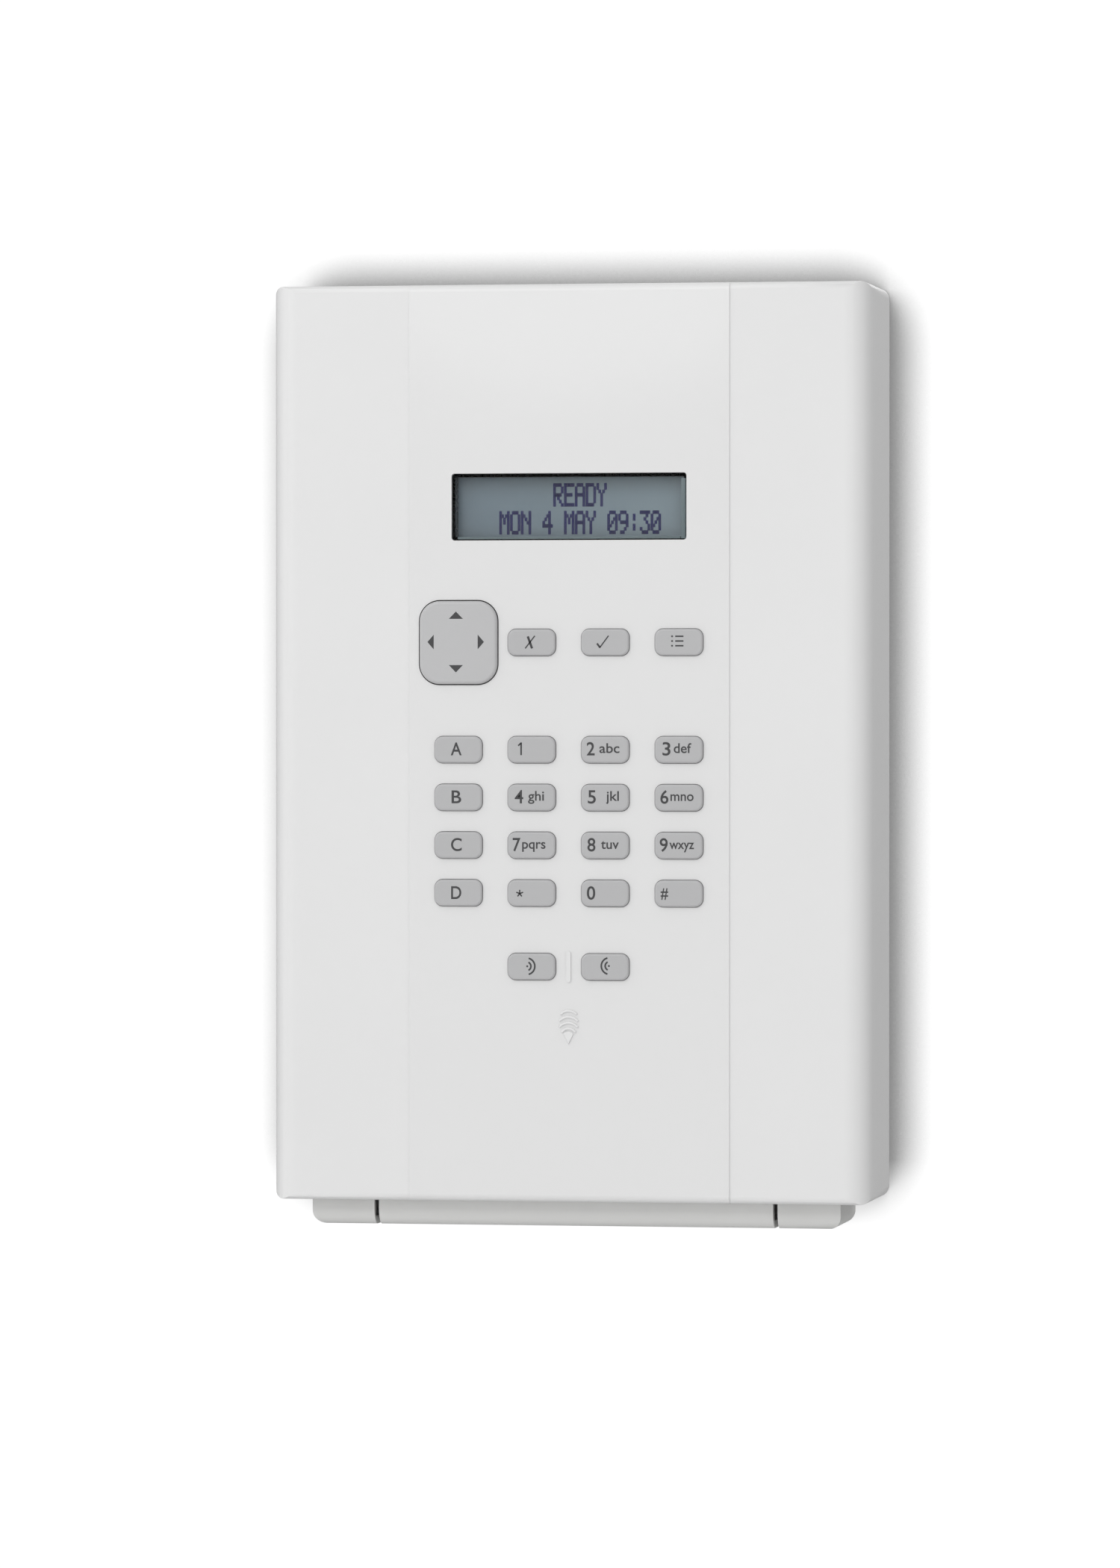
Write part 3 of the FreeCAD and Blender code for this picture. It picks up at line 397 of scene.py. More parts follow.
def boardGreenFinish():
    # lacquered board with paler tracks showing through
    finish, tree, principled = newFinish("boardGreen", Coat_Weight=0.3)
    place = tree.nodes.new("ShaderNodeTexCoord")
    tracks = tree.nodes.new("ShaderNodeTexBrick")
    tracks.offset = 0.37
    tracks.squash = 1.7
    tracks.squash_frequency = 3
    tracks.inputs["Scale"].default_value = 1
    tracks.inputs["Brick Width"].default_value = 0.0105
    tracks.inputs["Row Height"].default_value = 0.0023
    tracks.inputs["Mortar Size"].default_value = 0.00019
    tracks.inputs["Mortar Smooth"].default_value = 0.1
    mapping = tree.nodes.new("ShaderNodeMapping")
    mapping.inputs["Rotation"].default_value = (math.pi / 2, 0, 0)
    blend = tree.nodes.new("ShaderNodeMix")
    blend.data_type = "RGBA"
    blend.inputs["A"].default_value = (0.006, 0.085, 0.03, 1)
    blend.inputs["B"].default_value = (0.02, 0.17, 0.055, 1)
    tree.links.new(place.outputs["Object"], mapping.inputs["Vector"])
    tree.links.new(mapping.outputs["Vector"], tracks.inputs["Vector"])
    tree.links.new(tracks.outputs["Fac"], blend.inputs["Factor"])
    surface = surfaced(tree, principled, place.outputs["Object"],
                       {"Tone change": 0.08, "Grain size": 1200, "Grain depth": 0.03, "Gloss low": 0.22,
                        "Gloss high": 0.32, "Specks": 0.0})
    tree.links.new(blend.outputs["Result"], surface.inputs["Colour"])
    return finish


finishes["boardGreen"] = boardGreenFinish()


def clearFinish():
    # a low index keeps the display behind it from looking sunk and pale
    return newFinish("lensClear", Transmission_Weight=1.0, IOR=1.2, Roughness=0.0,
                     Base_Color=(0.97, 0.98, 0.98, 1))[0]


def displayFinish():
    # blue-grey display face, paler towards the right and darker along the top, where a painted shade stands
    # for the shadow of the window's upper edge
    finish, tree, principled = newFinish("displayFace", Coat_Weight=0.2)
    place = tree.nodes.new("ShaderNodeTexCoord")
    parts = tree.nodes.new("ShaderNodeSeparateXYZ")
    tree.links.new(place.outputs["Object"], parts.inputs[0])
    low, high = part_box("lcd_glass")
    across = ranged(tree, parts.outputs["X"], low.x, high.x)
    ramp = tree.nodes.new("ShaderNodeValToRGB")
    ramp.color_ramp.elements[0].color = (0.165, 0.22, 0.265, 1)
    ramp.color_ramp.elements[1].color = (0.225, 0.288, 0.325, 1)
    middle = ramp.color_ramp.elements.new(0.45)
    middle.color = (0.18, 0.235, 0.275, 1)
    tree.links.new(across.outputs["Result"], ramp.inputs["Fac"])
    # painted shade: the face is darkened over its top few millimetres as if shaded by the window's edge
    up = ranged(tree, parts.outputs["Z"], high.z - 1.2 * mm, high.z - 7 * mm, 0.8)
    shade = tree.nodes.new("ShaderNodeMix")
    shade.data_type = "RGBA"
    shade.blend_type = "MULTIPLY"
    shade.inputs["Factor"].default_value = 1
    tree.links.new(ramp.outputs["Color"], shade.inputs["A"])
    tree.links.new(up.outputs["Result"], shade.inputs["B"])
    surface = surfaced(tree, principled, place.outputs["Object"],
                       {"Tone change": 0.05, "Grain size": 5000, "Grain depth": 0.02, "Gloss low": 0.3,
                        "Gloss high": 0.4, "Specks": 0.0})
    tree.links.new(shade.outputs["Result"], surface.inputs["Colour"])
    return finish


finishes["lensClear"] = clearFinish()
finishes["displayFace"] = displayFinish()
# painted highlight: the pale colour of the strips that stand for the lit inner walls of the display window
finishes["displayPaintedHighlight"] = moulded("displayPaintedHighlight", (0.15, 0.2, 0.215), 0.1, 900, 0.02, 0.3, 0.4, 0.0)
finishes["displayInk"] = moulded("displayInk", (0.001, 0.002, 0.09), 0.05, 4000, 0.02, 0.3, 0.4, 0.0)

nodeFinishes = {
    "front_cover": "coverWhite", "display_lens": "lensClear", "lcd_bezel": "bezelBlack",
    "lcd_glass": "displayFace", "lcd_backlight": "lightGuide", "lcd_board": "boardGreen",
    "lcd_ribbon": "filmAmber", "nav_post": "steel", "nav_pivot": "steel", "nav_pad": "rockerGrey",
    "keypad_mat": "siliconeGrey", "keypad_board": "boardGreen", "key_domes": "steel",
    "keypad_screws": "steel", "reader_coil": "copper", "sounder": "blackPlastic",
    "keypad_header": "blackPlastic", "cover_screws": "steel", "rear_base": "trayWhite",
    "main_board": "boardGreen", "base_screws": "steel", "terminal_blocks": "terminalGreen",
    "terminal_screws": "steel", "battery_holder": "blackPlastic", "battery_cells": "cellWrap",
    "battery_contacts": "steel", "radio_module": "canSteel", "comms_module": "canSteel",
    "capacitors": "cellWrap", "board_chips": "blackPlastic", "power_choke": "blackPlastic",
    "main_header": "blackPlastic", "aerials": "copper", "tamper_switch": "blackPlastic",
    "tamper_plunger": "steel", "cable_clamp": "blackPlastic", "cable_cover": "coverWhite",
}
for name, thing in nodes.items():
    finishName = nodeFinishes.get(name, "keyGrey")  # the keys are the nodes not listed
    thing.data.materials.clear()
    thing.data.materials.append(finishes[finishName])
print("finishes ready")


# cover

coverShape = {"edge": 0.16, "bandHalf": 43.1, "bandFront": -39.75}


def makeCover():
    # the moulded shell with slightly softened edges and a glossier band
    shell = copyOfNode("front_cover")
    softened(shell, coverShape["edge"] * mm, 2, 40)
    settle(shell, "cover_shell", finishes["coverWhite"], "cover", ["front_cover"])
    shell.data.materials.append(finishes["bandWhite"])
    chooseFaces(shell, lambda face: face.normal.y < -0.5
                and face.calc_center_median().y < coverShape["bandFront"] * mm
                and abs(face.calc_center_median().x) < coverShape["bandHalf"] * mm)
    shell.active_material_index = 1
    bpy.ops.object.material_slot_assign()
    backToObject()
    deselectAll()
    return shell


trayBack = {"rim": 2.6, "sink": 0.8, "ribWide": 1.2, "ribEdge": 0.2, "rear": -0.15,
            "crossRibs": [-52, -17, 18, 53], "crossHalf": 74.5,
            "longRibs": [-36, 36], "longLow": -80, "longHigh": 90, "arrowUp": 98, "arrowSize": 5}
mouldingEdge = 0.14 * mm


def sinkTrayBack(tray):
    # the rear face is sunk a little inside a rim, with flat pads left round its holes
    chooseFaces(tray, lambda face: face.normal.y > 0.95 and face.calc_center_median().y > -0.05 * mm)
    bpy.ops.mesh.inset(thickness=trayBack["rim"] * mm, use_boundary=True, use_even_offset=True)
    bpy.ops.mesh.extrude_region_move(TRANSFORM_OT_translate={"value": (0, -trayBack["sink"] * mm, 0)})
    backToObject()
    return tray


def trayRibs():
    # low stiffening ribs and a moulded arrow that shows which way up the tray goes
    floor, top = -(trayBack["sink"] + 0.05) * mm, trayBack["rear"] * mm
    half, edge = trayBack["ribWide"] / 2 * mm, trayBack["ribEdge"] * mm
    reach = trayBack["crossHalf"] * mm
    ribs = []
    for up in trayBack["crossRibs"]:
        ribs.append(roundedBrick((-reach, floor, up * mm - half), (reach, top, up * mm + half), edge, 2))
    for across in trayBack["longRibs"]:
        ribs.append(roundedBrick((across * mm - half, floor, trayBack["longLow"] * mm),
                                 (across * mm + half, top, trayBack["longHigh"] * mm), edge, 2))
    deselectAll()
    bpy.ops.mesh.primitive_circle_add(vertices=3, radius=trayBack["arrowSize"] * mm, fill_type="NGON",
                                      rotation=facingFront, location=(0, floor, trayBack["arrowUp"] * mm))
    arrow = freeze(bpy.context.object)
    applied(arrow, "SOLIDIFY", thickness=1.0 * mm, offset=0)
    ribs.append(outward(arrow))
    stem = roundedBrick((-1.5 * mm, floor, (trayBack["arrowUp"] - 9) * mm),
                        (1.5 * mm, floor + 0.5 * mm, (trayBack["arrowUp"] - 2) * mm), 0.15 * mm, 2)
    ribs.append(stem)
    return joined(ribs)


def makeTray():
    # the wall tray with its lip, and the cable cover in the lip
    tray = softened(sinkTrayBack(copyOfNode("rear_base")), mouldingEdge, 2, 40)
    settle(trayRibs(), "tray_ribs", finishes["trayWhite"], bodyOfNode["rear_base"])
    settle(tray, "wall_tray", finishes["trayWhite"], bodyOfNode["rear_base"], ["rear_base"])
    door = softened(copyOfNode("cable_cover"), mouldingEdge, 2, 40)
    settle(door, "lip_door", finishes["trayWhite"], bodyOfNode["cable_cover"], ["cable_cover"])


makeCover()
makeTray()
print("cover and tray shaped")


# what shows inside when the cover is open

# each chip is across, up, width, height and thickness, and tiny holds the places of the resistors
mainParts = {
    "front": -8.0,
    "chips": [(0, -6, 14, 14, 1.7), (14, -30, 10, 6, 1.7), (-12, -32, 8, 12, 1.7), (0, 14, 8, 5, 1.7)],
    "leg": (0.35, 0.9, 0.25), "legPitch": 1.0,
    "tiny": [(14 + 4.4 * column, 4 - 4 * row) for column in range(8) for row in range(4)]
    + [(-46 + 4.4 * column, 6 - 4 * row) for column in range(8) for row in range(3)]
    + [(-46 + 4.4 * column, -45) for column in range(22)],
    "tinySize": (2.0, 0.55, 1.25),
}
keypadParts = {
    "rear": -31.6, "chips": [(-22, -12, 12, 12, 1.5), (-24, 18, 8, 5, 1.3), (28, -30, 8, 6, 1.3)],
    "tiny": [(-40 + 4.6 * column, -30 - 4.2 * row) for column in range(9) for row in range(3)]
    + [(-38 + 4.6 * column, 32) for column in range(9)] + [(20 + 4.6 * column, -44 - 4.2 * row)
                                                           for column in range(5) for row in range(3)],
}


def chipLegs(chips, face, side):
    # legs above and below each chip, with side -1 on a board's front and 1 on its rear
    wide, long, thick = (length * mm for length in mainParts["leg"])
    foot = brick((-wide / 2, 0, -long / 2), (wide / 2, side * thick, long / 2))
    if side < 0:
        outward(foot)
    sunk(foot, side, 0.06 * mm, -0.25 * mm)
    legs = []
    for across, up, width, height, tall in chips:
        count = int((width - 1) / mainParts["legPitch"])
        for place in range(count):
            x = across - (count - 1) / 2 * mainParts["legPitch"] + place * mainParts["legPitch"]
            for end in (-1, 1):
                z = up + end * (height / 2 + 0.35)
                legs.append(twinOf(foot, (x * mm, face * mm, z * mm)))
    bpy.data.objects.remove(foot)
    return joined(legs)


def tinyParts(places, face, side, name, body):
    # surface-mounted resistors: a dark body with a bright cap at each end
    wide, tall, high = (length * mm for length in mainParts["tinySize"])
    core = roundedBrick((-wide * 0.32, min(0, side * tall), -high / 2),
                        (wide * 0.32, max(0, side * tall), high / 2), 0.06 * mm, 1)
    cap = roundedBrick((wide * 0.3, min(0, side * tall * 1.05), -high / 2 * 1.04),
                       (wide / 2, max(0, side * tall * 1.05), high / 2 * 1.04), 0.06 * mm, 1)
    cores, caps = [], []
    for x, z in places:
        cores.append(twinOf(core, (x * mm, face * mm, z * mm)))
        caps.append(twinOf(cap, (x * mm, face * mm, z * mm)))
        caps.append(twinOf(cap, (x * mm - 0.8 * wide, face * mm, z * mm)))
    bpy.data.objects.remove(core)
    bpy.data.objects.remove(cap)
    settle(joined(cores), name + "_bodies", finishes["blackPlastic"], body)
    settle(joined(caps), name + "_caps", finishes["solder"], body)


def makeBoardParts():
    legs = chipLegs(mainParts["chips"], mainParts["front"], -1)
    settle(legs, "main_chip_legs", finishes["solder"], "base")
    tinyParts(mainParts["tiny"], mainParts["front"], -1, "main_resistors", "base")
    chips = []
    rear = keypadParts["rear"]
    for across, up, width, height, tall in keypadParts["chips"]:
        chips.append(roundedBrick(((across - width / 2) * mm, rear * mm, (up - height / 2) * mm),
                                  ((across + width / 2) * mm, (rear + tall) * mm, (up + height / 2) * mm),
                                  0.15 * mm, 2))
    settle(joined(chips), "keypad_chips", finishes["blackPlastic"], "cover")
    legs = chipLegs(keypadParts["chips"], rear, 1)
    settle(legs, "keypad_chip_legs", finishes["solder"], "cover")
    tinyParts(keypadParts["tiny"], rear, 1, "keypad_resistors", "cover")


# across, up, radius, height above the board
capacitorCans = [(-42, -32, 5, 11), (-29, -32, 5, 11), (-42, -18, 3.2, 8), (-33, -19, 3.2, 8)]


def makeCapacitorTops():
    # bare aluminium ends, dished and scored across, above the printed sleeves
    tops = []
    for across, up, radius, height in capacitorCans:
        face = (mainParts["front"] - height) * mm
        top = peg((across * mm, face, up * mm), radius * 0.84 * mm, 0.12 * mm)
        tops.append(sunk(top, -1, 0.3 * mm, 0.05 * mm))
        for turn in (0, math.pi / 2):
            score = roundedBrick((-radius * 0.6 * mm, -0.01 * mm, -0.08 * mm),
                                 (radius * 0.6 * mm, 0.03 * mm, 0.08 * mm), 0.008 * mm, 1)
            score.data.transform(Matrix.Rotation(turn, 4, "Y"))
            score.data.transform(Matrix.Translation((across * mm, face - 0.03 * mm, up * mm)))
            tops.append(score)
    settle(joined(tops), "capacitor_tops", finishes["canSteel"], "base")


def makeSounderFace():
    # a ring and the sound hole on the sounder's free end
    low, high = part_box("sounder")
    centre = (low + high) / 2
    deselectAll()
    bpy.ops.mesh.primitive_torus_add(major_radius=8.5 * mm, minor_radius=0.4 * mm, major_segments=48,
                                     minor_segments=8, location=(centre.x, high.y, centre.z),
                                     rotation=facingFront)
    ring = freeze(bpy.context.object)
    hole = peg((centre.x, high.y, centre.z), 1.6 * mm, 0.4 * mm)
    sunk(hole, 1, 0.4 * mm, 0.25 * mm)
    settle(smooth(joined([ring, hole])), "sounder_rim", finishes["canSteel"], "cover")


moduleMarks = {"columns": 5, "rows": 2, "pitch": 4.4, "rowGap": 12, "lift": 3, "radius": 0.7, "thick": 0.1}


def makeModuleMarks():
    # two rows of small dished marks on each screening can
    dimples = []
    for node in ("radio_module", "comms_module"):
        low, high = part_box(node)
        centre = (low + high) / 2
        for column in range(moduleMarks["columns"]):
            for row in range(moduleMarks["rows"]):
                right = (column - (moduleMarks["columns"] - 1) / 2) * moduleMarks["pitch"] * mm
                up = (moduleMarks["lift"] + (row - 0.5) * moduleMarks["rowGap"]) * mm
                dimple = peg((centre.x + right, low.y, centre.z + up), moduleMarks["radius"] * mm,
                             moduleMarks["thick"] * mm, 16)
                dimples.append(sunk(dimple, -1, 0.2 * mm, 0.04 * mm))
    settle(joined(dimples), "can_dimples", finishes["solder"], "base")


makeBoardParts()
makeCapacitorTops()
makeSounderFace()
makeModuleMarks()
print("inside detailed")


# keys and their legends

inkThickness = 0.02 * mm


def fontHeight():
    deselectAll()
    bpy.ops.object.text_add()
    sample = bpy.context.object
    sample.data.body = "H"
    bpy.context.view_layer.update()
    height = sample.dimensions.y
    bpy.data.objects.remove(sample)
    return height


capHeight = fontHeight()


letterWeight, letterDepth = 0.012, 0.01  # how far the letters are fattened and raised, in font units


def lettering(words, size, width, across, baseline, front):
    # printed letters as a thin mesh: size is the capital's height and width the whole word's, in mm
    deselectAll()
    bpy.ops.object.text_add(rotation=facingFront)
    piece = bpy.context.object
    piece.data.body = words
    piece.data.offset = letterWeight
    piece.data.extrude = letterDepth
    bpy.ops.object.convert(target="MESH")
    piece = bpy.context.object
    xs = [vertex.co.x for vertex in piece.data.vertices]
    tall = size * mm / capHeight
    wide = width * mm / (max(xs) - min(xs))
    piece.data.transform(Matrix.Translation((-(max(xs) + min(xs)) / 2, 0, 0)))
    piece.data.transform(Matrix.Diagonal((wide, tall, inkThickness / (2 * letterDepth), 1)))
    piece.location = (across, front - inkThickness / 2, baseline)
    freeze(piece)
    return outward(piece)


def inkStroke(start, end, width, centre, front):
    # a short printed line between two points given in mm from the key's centre
    deselectAll()
    dx, dz = end[0] - start[0], end[1] - start[1]
    length = math.hypot(dx, dz)
    middle = ((start[0] + end[0]) / 2, (start[1] + end[1]) / 2)
    place = (centre.x + middle[0] * mm, front - inkThickness / 2, centre.z + middle[1] * mm)
    bpy.ops.mesh.primitive_cube_add(size=1, location=place, rotation=(0, -math.atan2(dz, dx), 0))
    piece = bpy.context.object
    piece.scale = (length * mm, inkThickness, width * mm)
    return applied(freeze(piece), "BEVEL", width=0.25 * inkThickness, segments=1, limit_method="NONE")


def inkArc(radius, width, middleAngle, halfAngle, centre, front, steps=14, thickness=inkThickness):
    # an arc drawn by spinning a short edge, with angles in degrees anticlockwise from the right
    deselectAll()
    bpy.ops.mesh.primitive_plane_add(size=1)
    piece = bpy.context.object
    first = math.radians(middleAngle - halfAngle)
    pick(piece)
    bpy.ops.object.mode_set(mode="EDIT")
    mesh = bmesh.from_edit_mesh(piece.data)
    bmesh.ops.delete(mesh, geom=list(mesh.verts), context="VERTS")
    reaches = [(radius - width / 2) * mm, (radius + width / 2) * mm]
    ends = [mesh.verts.new((centre.x + reach * math.cos(first), front, centre.z + reach * math.sin(first)))
            for reach in reaches]
    mesh.edges.new(ends).select = True
    for vertex in ends:
        vertex.select = True
    bmesh.update_edit_mesh(piece.data)
    bpy.ops.mesh.spin(steps=steps, angle=math.radians(2 * halfAngle), center=(centre.x, front, centre.z),
                      axis=(0, 1, 0))
    backToObject()
    applied(piece, "SOLIDIFY", thickness=thickness, offset=0)
    return outward(piece)


def inkDot(radius, offset, centre, front):
    # a printed dot, its offset in mm from the key's centre
    place = (centre.x + offset[0] * mm, front - inkThickness / 2, centre.z + offset[1] * mm)
    dot = peg(place, radius * mm, inkThickness, 20)
    return applied(dot, "BEVEL", width=0.25 * inkThickness, segments=1, limit_method="ANGLE")


# printed characters: words, capital height, width of the word, offset across, baseline offset
keyPrint = {
    "key_a": [("A", 3.3, 2.95, -0.5, -1.45)],
    "key_b": [("B", 3.3, 2.6, -0.45, -1.5)],
    "key_c": [("C", 3.3, 2.9, -0.45, -1.5)],
    "key_d": [("D", 3.3, 2.75, -0.5, -1.6)],
    "key_2": [("2", 3.4, 2.15, -3.8, -1.45), ("abc", 2.5, 5.4, 1.24, -0.8)],
    "key_3": [("3", 3.4, 2.15, -3.25, -1.45), ("def", 2.5, 4.7, 1.06, -0.8)],
    "key_4": [("4", 3.4, 2.3, -3.33, -1.5), ("ghi", 2.5, 4.3, 1.27, -0.8)],
    "key_5": [("5", 3.4, 2.15, -3.5, -1.5), ("jkl", 2.5, 3.5, 2.03, -0.8)],
    "key_6": [("6", 3.4, 2.15, -3.8, -1.5), ("mno", 2.5, 6.2, 0.92, -0.8)],
    "key_7": [("7", 3.4, 2.1, -3.98, -1.5), ("pqrs", 2.5, 6.3, 0.68, -0.85)],
    "key_8": [("8", 3.4, 2.15, -3.6, -1.5), ("tuv", 2.5, 4.8, 1.37, -0.85)],
    "key_9": [("9", 3.4, 2.15, -3.98, -1.5), ("wxyz", 2.5, 6.6, 0.84, -0.85)],
    "key_0": [("0", 3.4, 2.25, -3.7, -1.6)],
    "key_hash": [("#", 2.9, 2.0, -3.8, -1.25)],
}
arcWidth = 0.46
starHub, starReach = (-3.14, -0.1), 0.98


def keyIcons(name, centre, front):
    # the marks that are drawn, not lettered
    if name == "key_cancel":
        return [inkStroke((-1.65, -1.6), (0.95, 1.75), 0.34, centre, front),
                inkStroke((-0.95, 1.6), (0.2, -1.6), 0.62, centre, front)]
    if name == "key_confirm":
        return [inkStroke((-2.1, -0.3), (-1.25, -1.45), 0.5, centre, front),
                inkStroke((-1.35, -1.4), (1.0, 1.75), 0.34, centre, front)]
    if name == "key_menu":
        lines = []
        for up in (1.55, 0.3, -0.95):
            lines.append(inkStroke((-0.9, up), (1.3, up), 0.4, centre, front))
            lines.append(inkDot(0.26, (-1.75, up), centre, front))
        return lines
    if name == "key_1":
        return [inkStroke((-2.75, -1.45), (-2.75, 1.95), 0.44, centre, front),
                inkStroke((-2.8, 1.75), (-3.55, 1.05), 0.4, centre, front)]
    if name == "key_star":
        spokes = []
        for turn in range(5):
            angle = math.radians(90 + 72 * turn)
            tip = (starHub[0] + starReach * math.cos(angle), starHub[1] + starReach * math.sin(angle))
            spokes.append(inkStroke(starHub, tip, 0.36, centre, front))
        return spokes
    # the two bottom keys carry a dot and two arcs, which open away from each other
    side = 1 if name == "key_unset" else -1
    hub = Vector((centre.x - side * 1.25 * mm, 0, centre.z + (0.1 if side > 0 else 0.3) * mm))
    facing = 0 if side > 0 else 180
    return [inkArc(1.15, arcWidth, facing, 66, hub, front), inkArc(2.2, arcWidth, facing, 76, hub, front),
            inkDot(0.27, (side * 0.15, 0), hub, front)]


keyNames = sorted(name for name in nodes if name.startswith("key_") and name != "key_domes")
for name in keyNames:
    low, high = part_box(name)
    centre, front = (low + high) / 2, low.y
    marks = [lettering(words, size, width, centre.x + across * mm, centre.z + base * mm, front)
             for words, size, width, across, base in keyPrint.get(name, [])]
    if not marks:
        marks = keyIcons(name, centre, front)
    legend = joined(marks)
    settle(legend, "legend_" + name[4:], finishes["legendInk"], bodyOfNode[name])
print("keys printed:", len(keyNames))


# rocker

# corners of the four arrows from the rocker's middle
rockerPrint = [
    [(-2.45, 6.3), (1.35, 6.3), (-0.55, 8.25)],
    [(1.35, -6.0), (-2.45, -6.0), (-0.55, -7.95)],
    [(-6.55, 2.1), (-6.55, -1.8), (-8.25, 0.15)],
    [(5.35, -1.8), (5.35, 2.1), (7.05, 0.15)],
]
rockerUp = 26.75


def makeRockerPrint():
    low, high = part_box("nav_pad")
    centre, front = (low + high) / 2, low.y
    centre.z = rockerUp * mm
    legend = joined([flatShape(corners, centre.x, front, centre.z, inkThickness) for corners in rockerPrint])
    settle(legend, "legend_rocker", finishes["legendInk"], bodyOfNode["nav_pad"])


makeRockerPrint()
print("rocker printed")


# display

# each letter is seven rows of five dots
displayPrint = {"pitch": 2.92, "dotWide": 0.76, "dotTall": 0.98, "dotStepX": 0.52, "dotStepZ": 0.88,
                "rows": [("     READY     ", 69.1), ("MON 4 MAY 09:30", 61.75)], "left": -19.8}
dotLetters = {
    "R": "11110 10001 10001 11110 10100 10010 10001",
    "E": "11111 10000 10000 11110 10000 10000 11111",
    "A": "01110 10001 10001 11111 10001 10001 10001",
    "D": "11110 10001 10001 10001 10001 10001 11110",
    "Y": "10001 10001 01010 00100 00100 00100 00100",
    "M": "10001 11011 10101 10101 10001 10001 10001",
    "O": "01110 10001 10001 10001 10001 10001 01110",
    "N": "10001 11001 10101 10011 10001 10001 10001",
    "4": "00010 00110 01010 10010 11111 00010 00010",
    "0": "01110 10001 10011 10101 11001 10001 01110",
    "9": "01110 10001 10001 01111 00001 00010 01100",
    "3": "11111 00010 00100 00010 00001 10001 01110",
    ":": "00000 00100 00100 00000 00100 00100 00000",
}


def makeDisplayPrint():
    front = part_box("lcd_glass")[0].y
    dots = []
    dot = brick((0, front - 0.03 * mm, 0),
                (displayPrint["dotWide"] * mm, front, displayPrint["dotTall"] * mm))
    applied(dot, "BEVEL", width=0.008 * mm, segments=1, limit_method="NONE")
    for words, top in displayPrint["rows"]:
        for place, letter in enumerate(words):
            if letter not in dotLetters:
                continue
            for row, cells in enumerate(dotLetters[letter].split()):
                for column, cell in enumerate(cells):
                    if cell == "1":
                        across = displayPrint["left"] + place * displayPrint["pitch"]
                        across += column * displayPrint["dotStepX"]
                        up = top - (row + 1) * displayPrint["dotStepZ"]
                        dots.append(twinOf(dot, (across * mm, 0, up * mm)))
    bpy.data.objects.remove(dot)
    settle(joined(dots), "display_text", finishes["displayInk"], "cover")


def makeDisplayPaintedHighlight():
    # pale strips inside the window at the right and the foot, a painted highlight standing for the lit inner
    # walls of the window
    low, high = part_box("display_lens")
    front, back = high.y - 0.14 * mm, high.y - 0.09 * mm
    right = roundedBrick((high.x - 1.4 * mm, front, low.z + 0.15 * mm),
                         (high.x - 0.25 * mm, back, high.z - 1.3 * mm), 0.02 * mm)
    foot = roundedBrick((low.x + 1.3 * mm, front, low.z + 0.15 * mm),
                        (high.x - 1.55 * mm, back, low.z + 0.75 * mm), 0.02 * mm)
    settle(joined([right, foot]), "display_painted_highlight", finishes["displayPaintedHighlight"], "cover")


makeDisplayPaintedHighlight()
makeDisplayPrint()
print("display written")


# proximity mark on the cover

proximityMark = {
    "face": -40.0, "line": 0.56, "raise": 0.38,
    "arcs": [(-74.1, 3.0, 48), (-76.0, 3.3, 50), (-77.6, 3.3, 50), (-78.0, 2.2, 58)],
    "drop": [(-1.35, -77.2), (-0.75, -76.75), (0, -76.6), (0.75, -76.75), (1.35, -77.2), (0, -80.0)],
}


def makeProximityMark():
    # four curved ridges above a pointed drop, raised on the band
    face, proud = proximityMark["face"] * mm, proximityMark["raise"] * mm
    parts = [inkArc(radius, proximityMark["line"], 90, half, Vector((0, 0, hubUp * mm)), face, 12, 2 * proud)
             for hubUp, radius, half in proximityMark["arcs"]]
    parts.append(flatShape(proximityMark["drop"], 0, face, 0, 2 * proud))
    mark = joined(parts)
    softened(mark, 0.16 * mm, 3, 50)
    settle(mark, "proximity_mark", finishes["coverWhite"], "cover")


makeProximityMark()
print("proximity mark raised")


# studio

# contact, shadowFoot, shadowFull and shadowDark set the painted contact shadow on the wall
studio = {"wallSize": 3.0, "floorUp": -0.8, "contact": 0.019, "shadowFoot": -0.132, "shadowFull": -0.112,
          "shadowDark": 0.25, "wallGlow": 1.05, "bounce": 0.3,
          "left": 1.28, "right": 0.7, "below": 0.76, "above": 1.22}


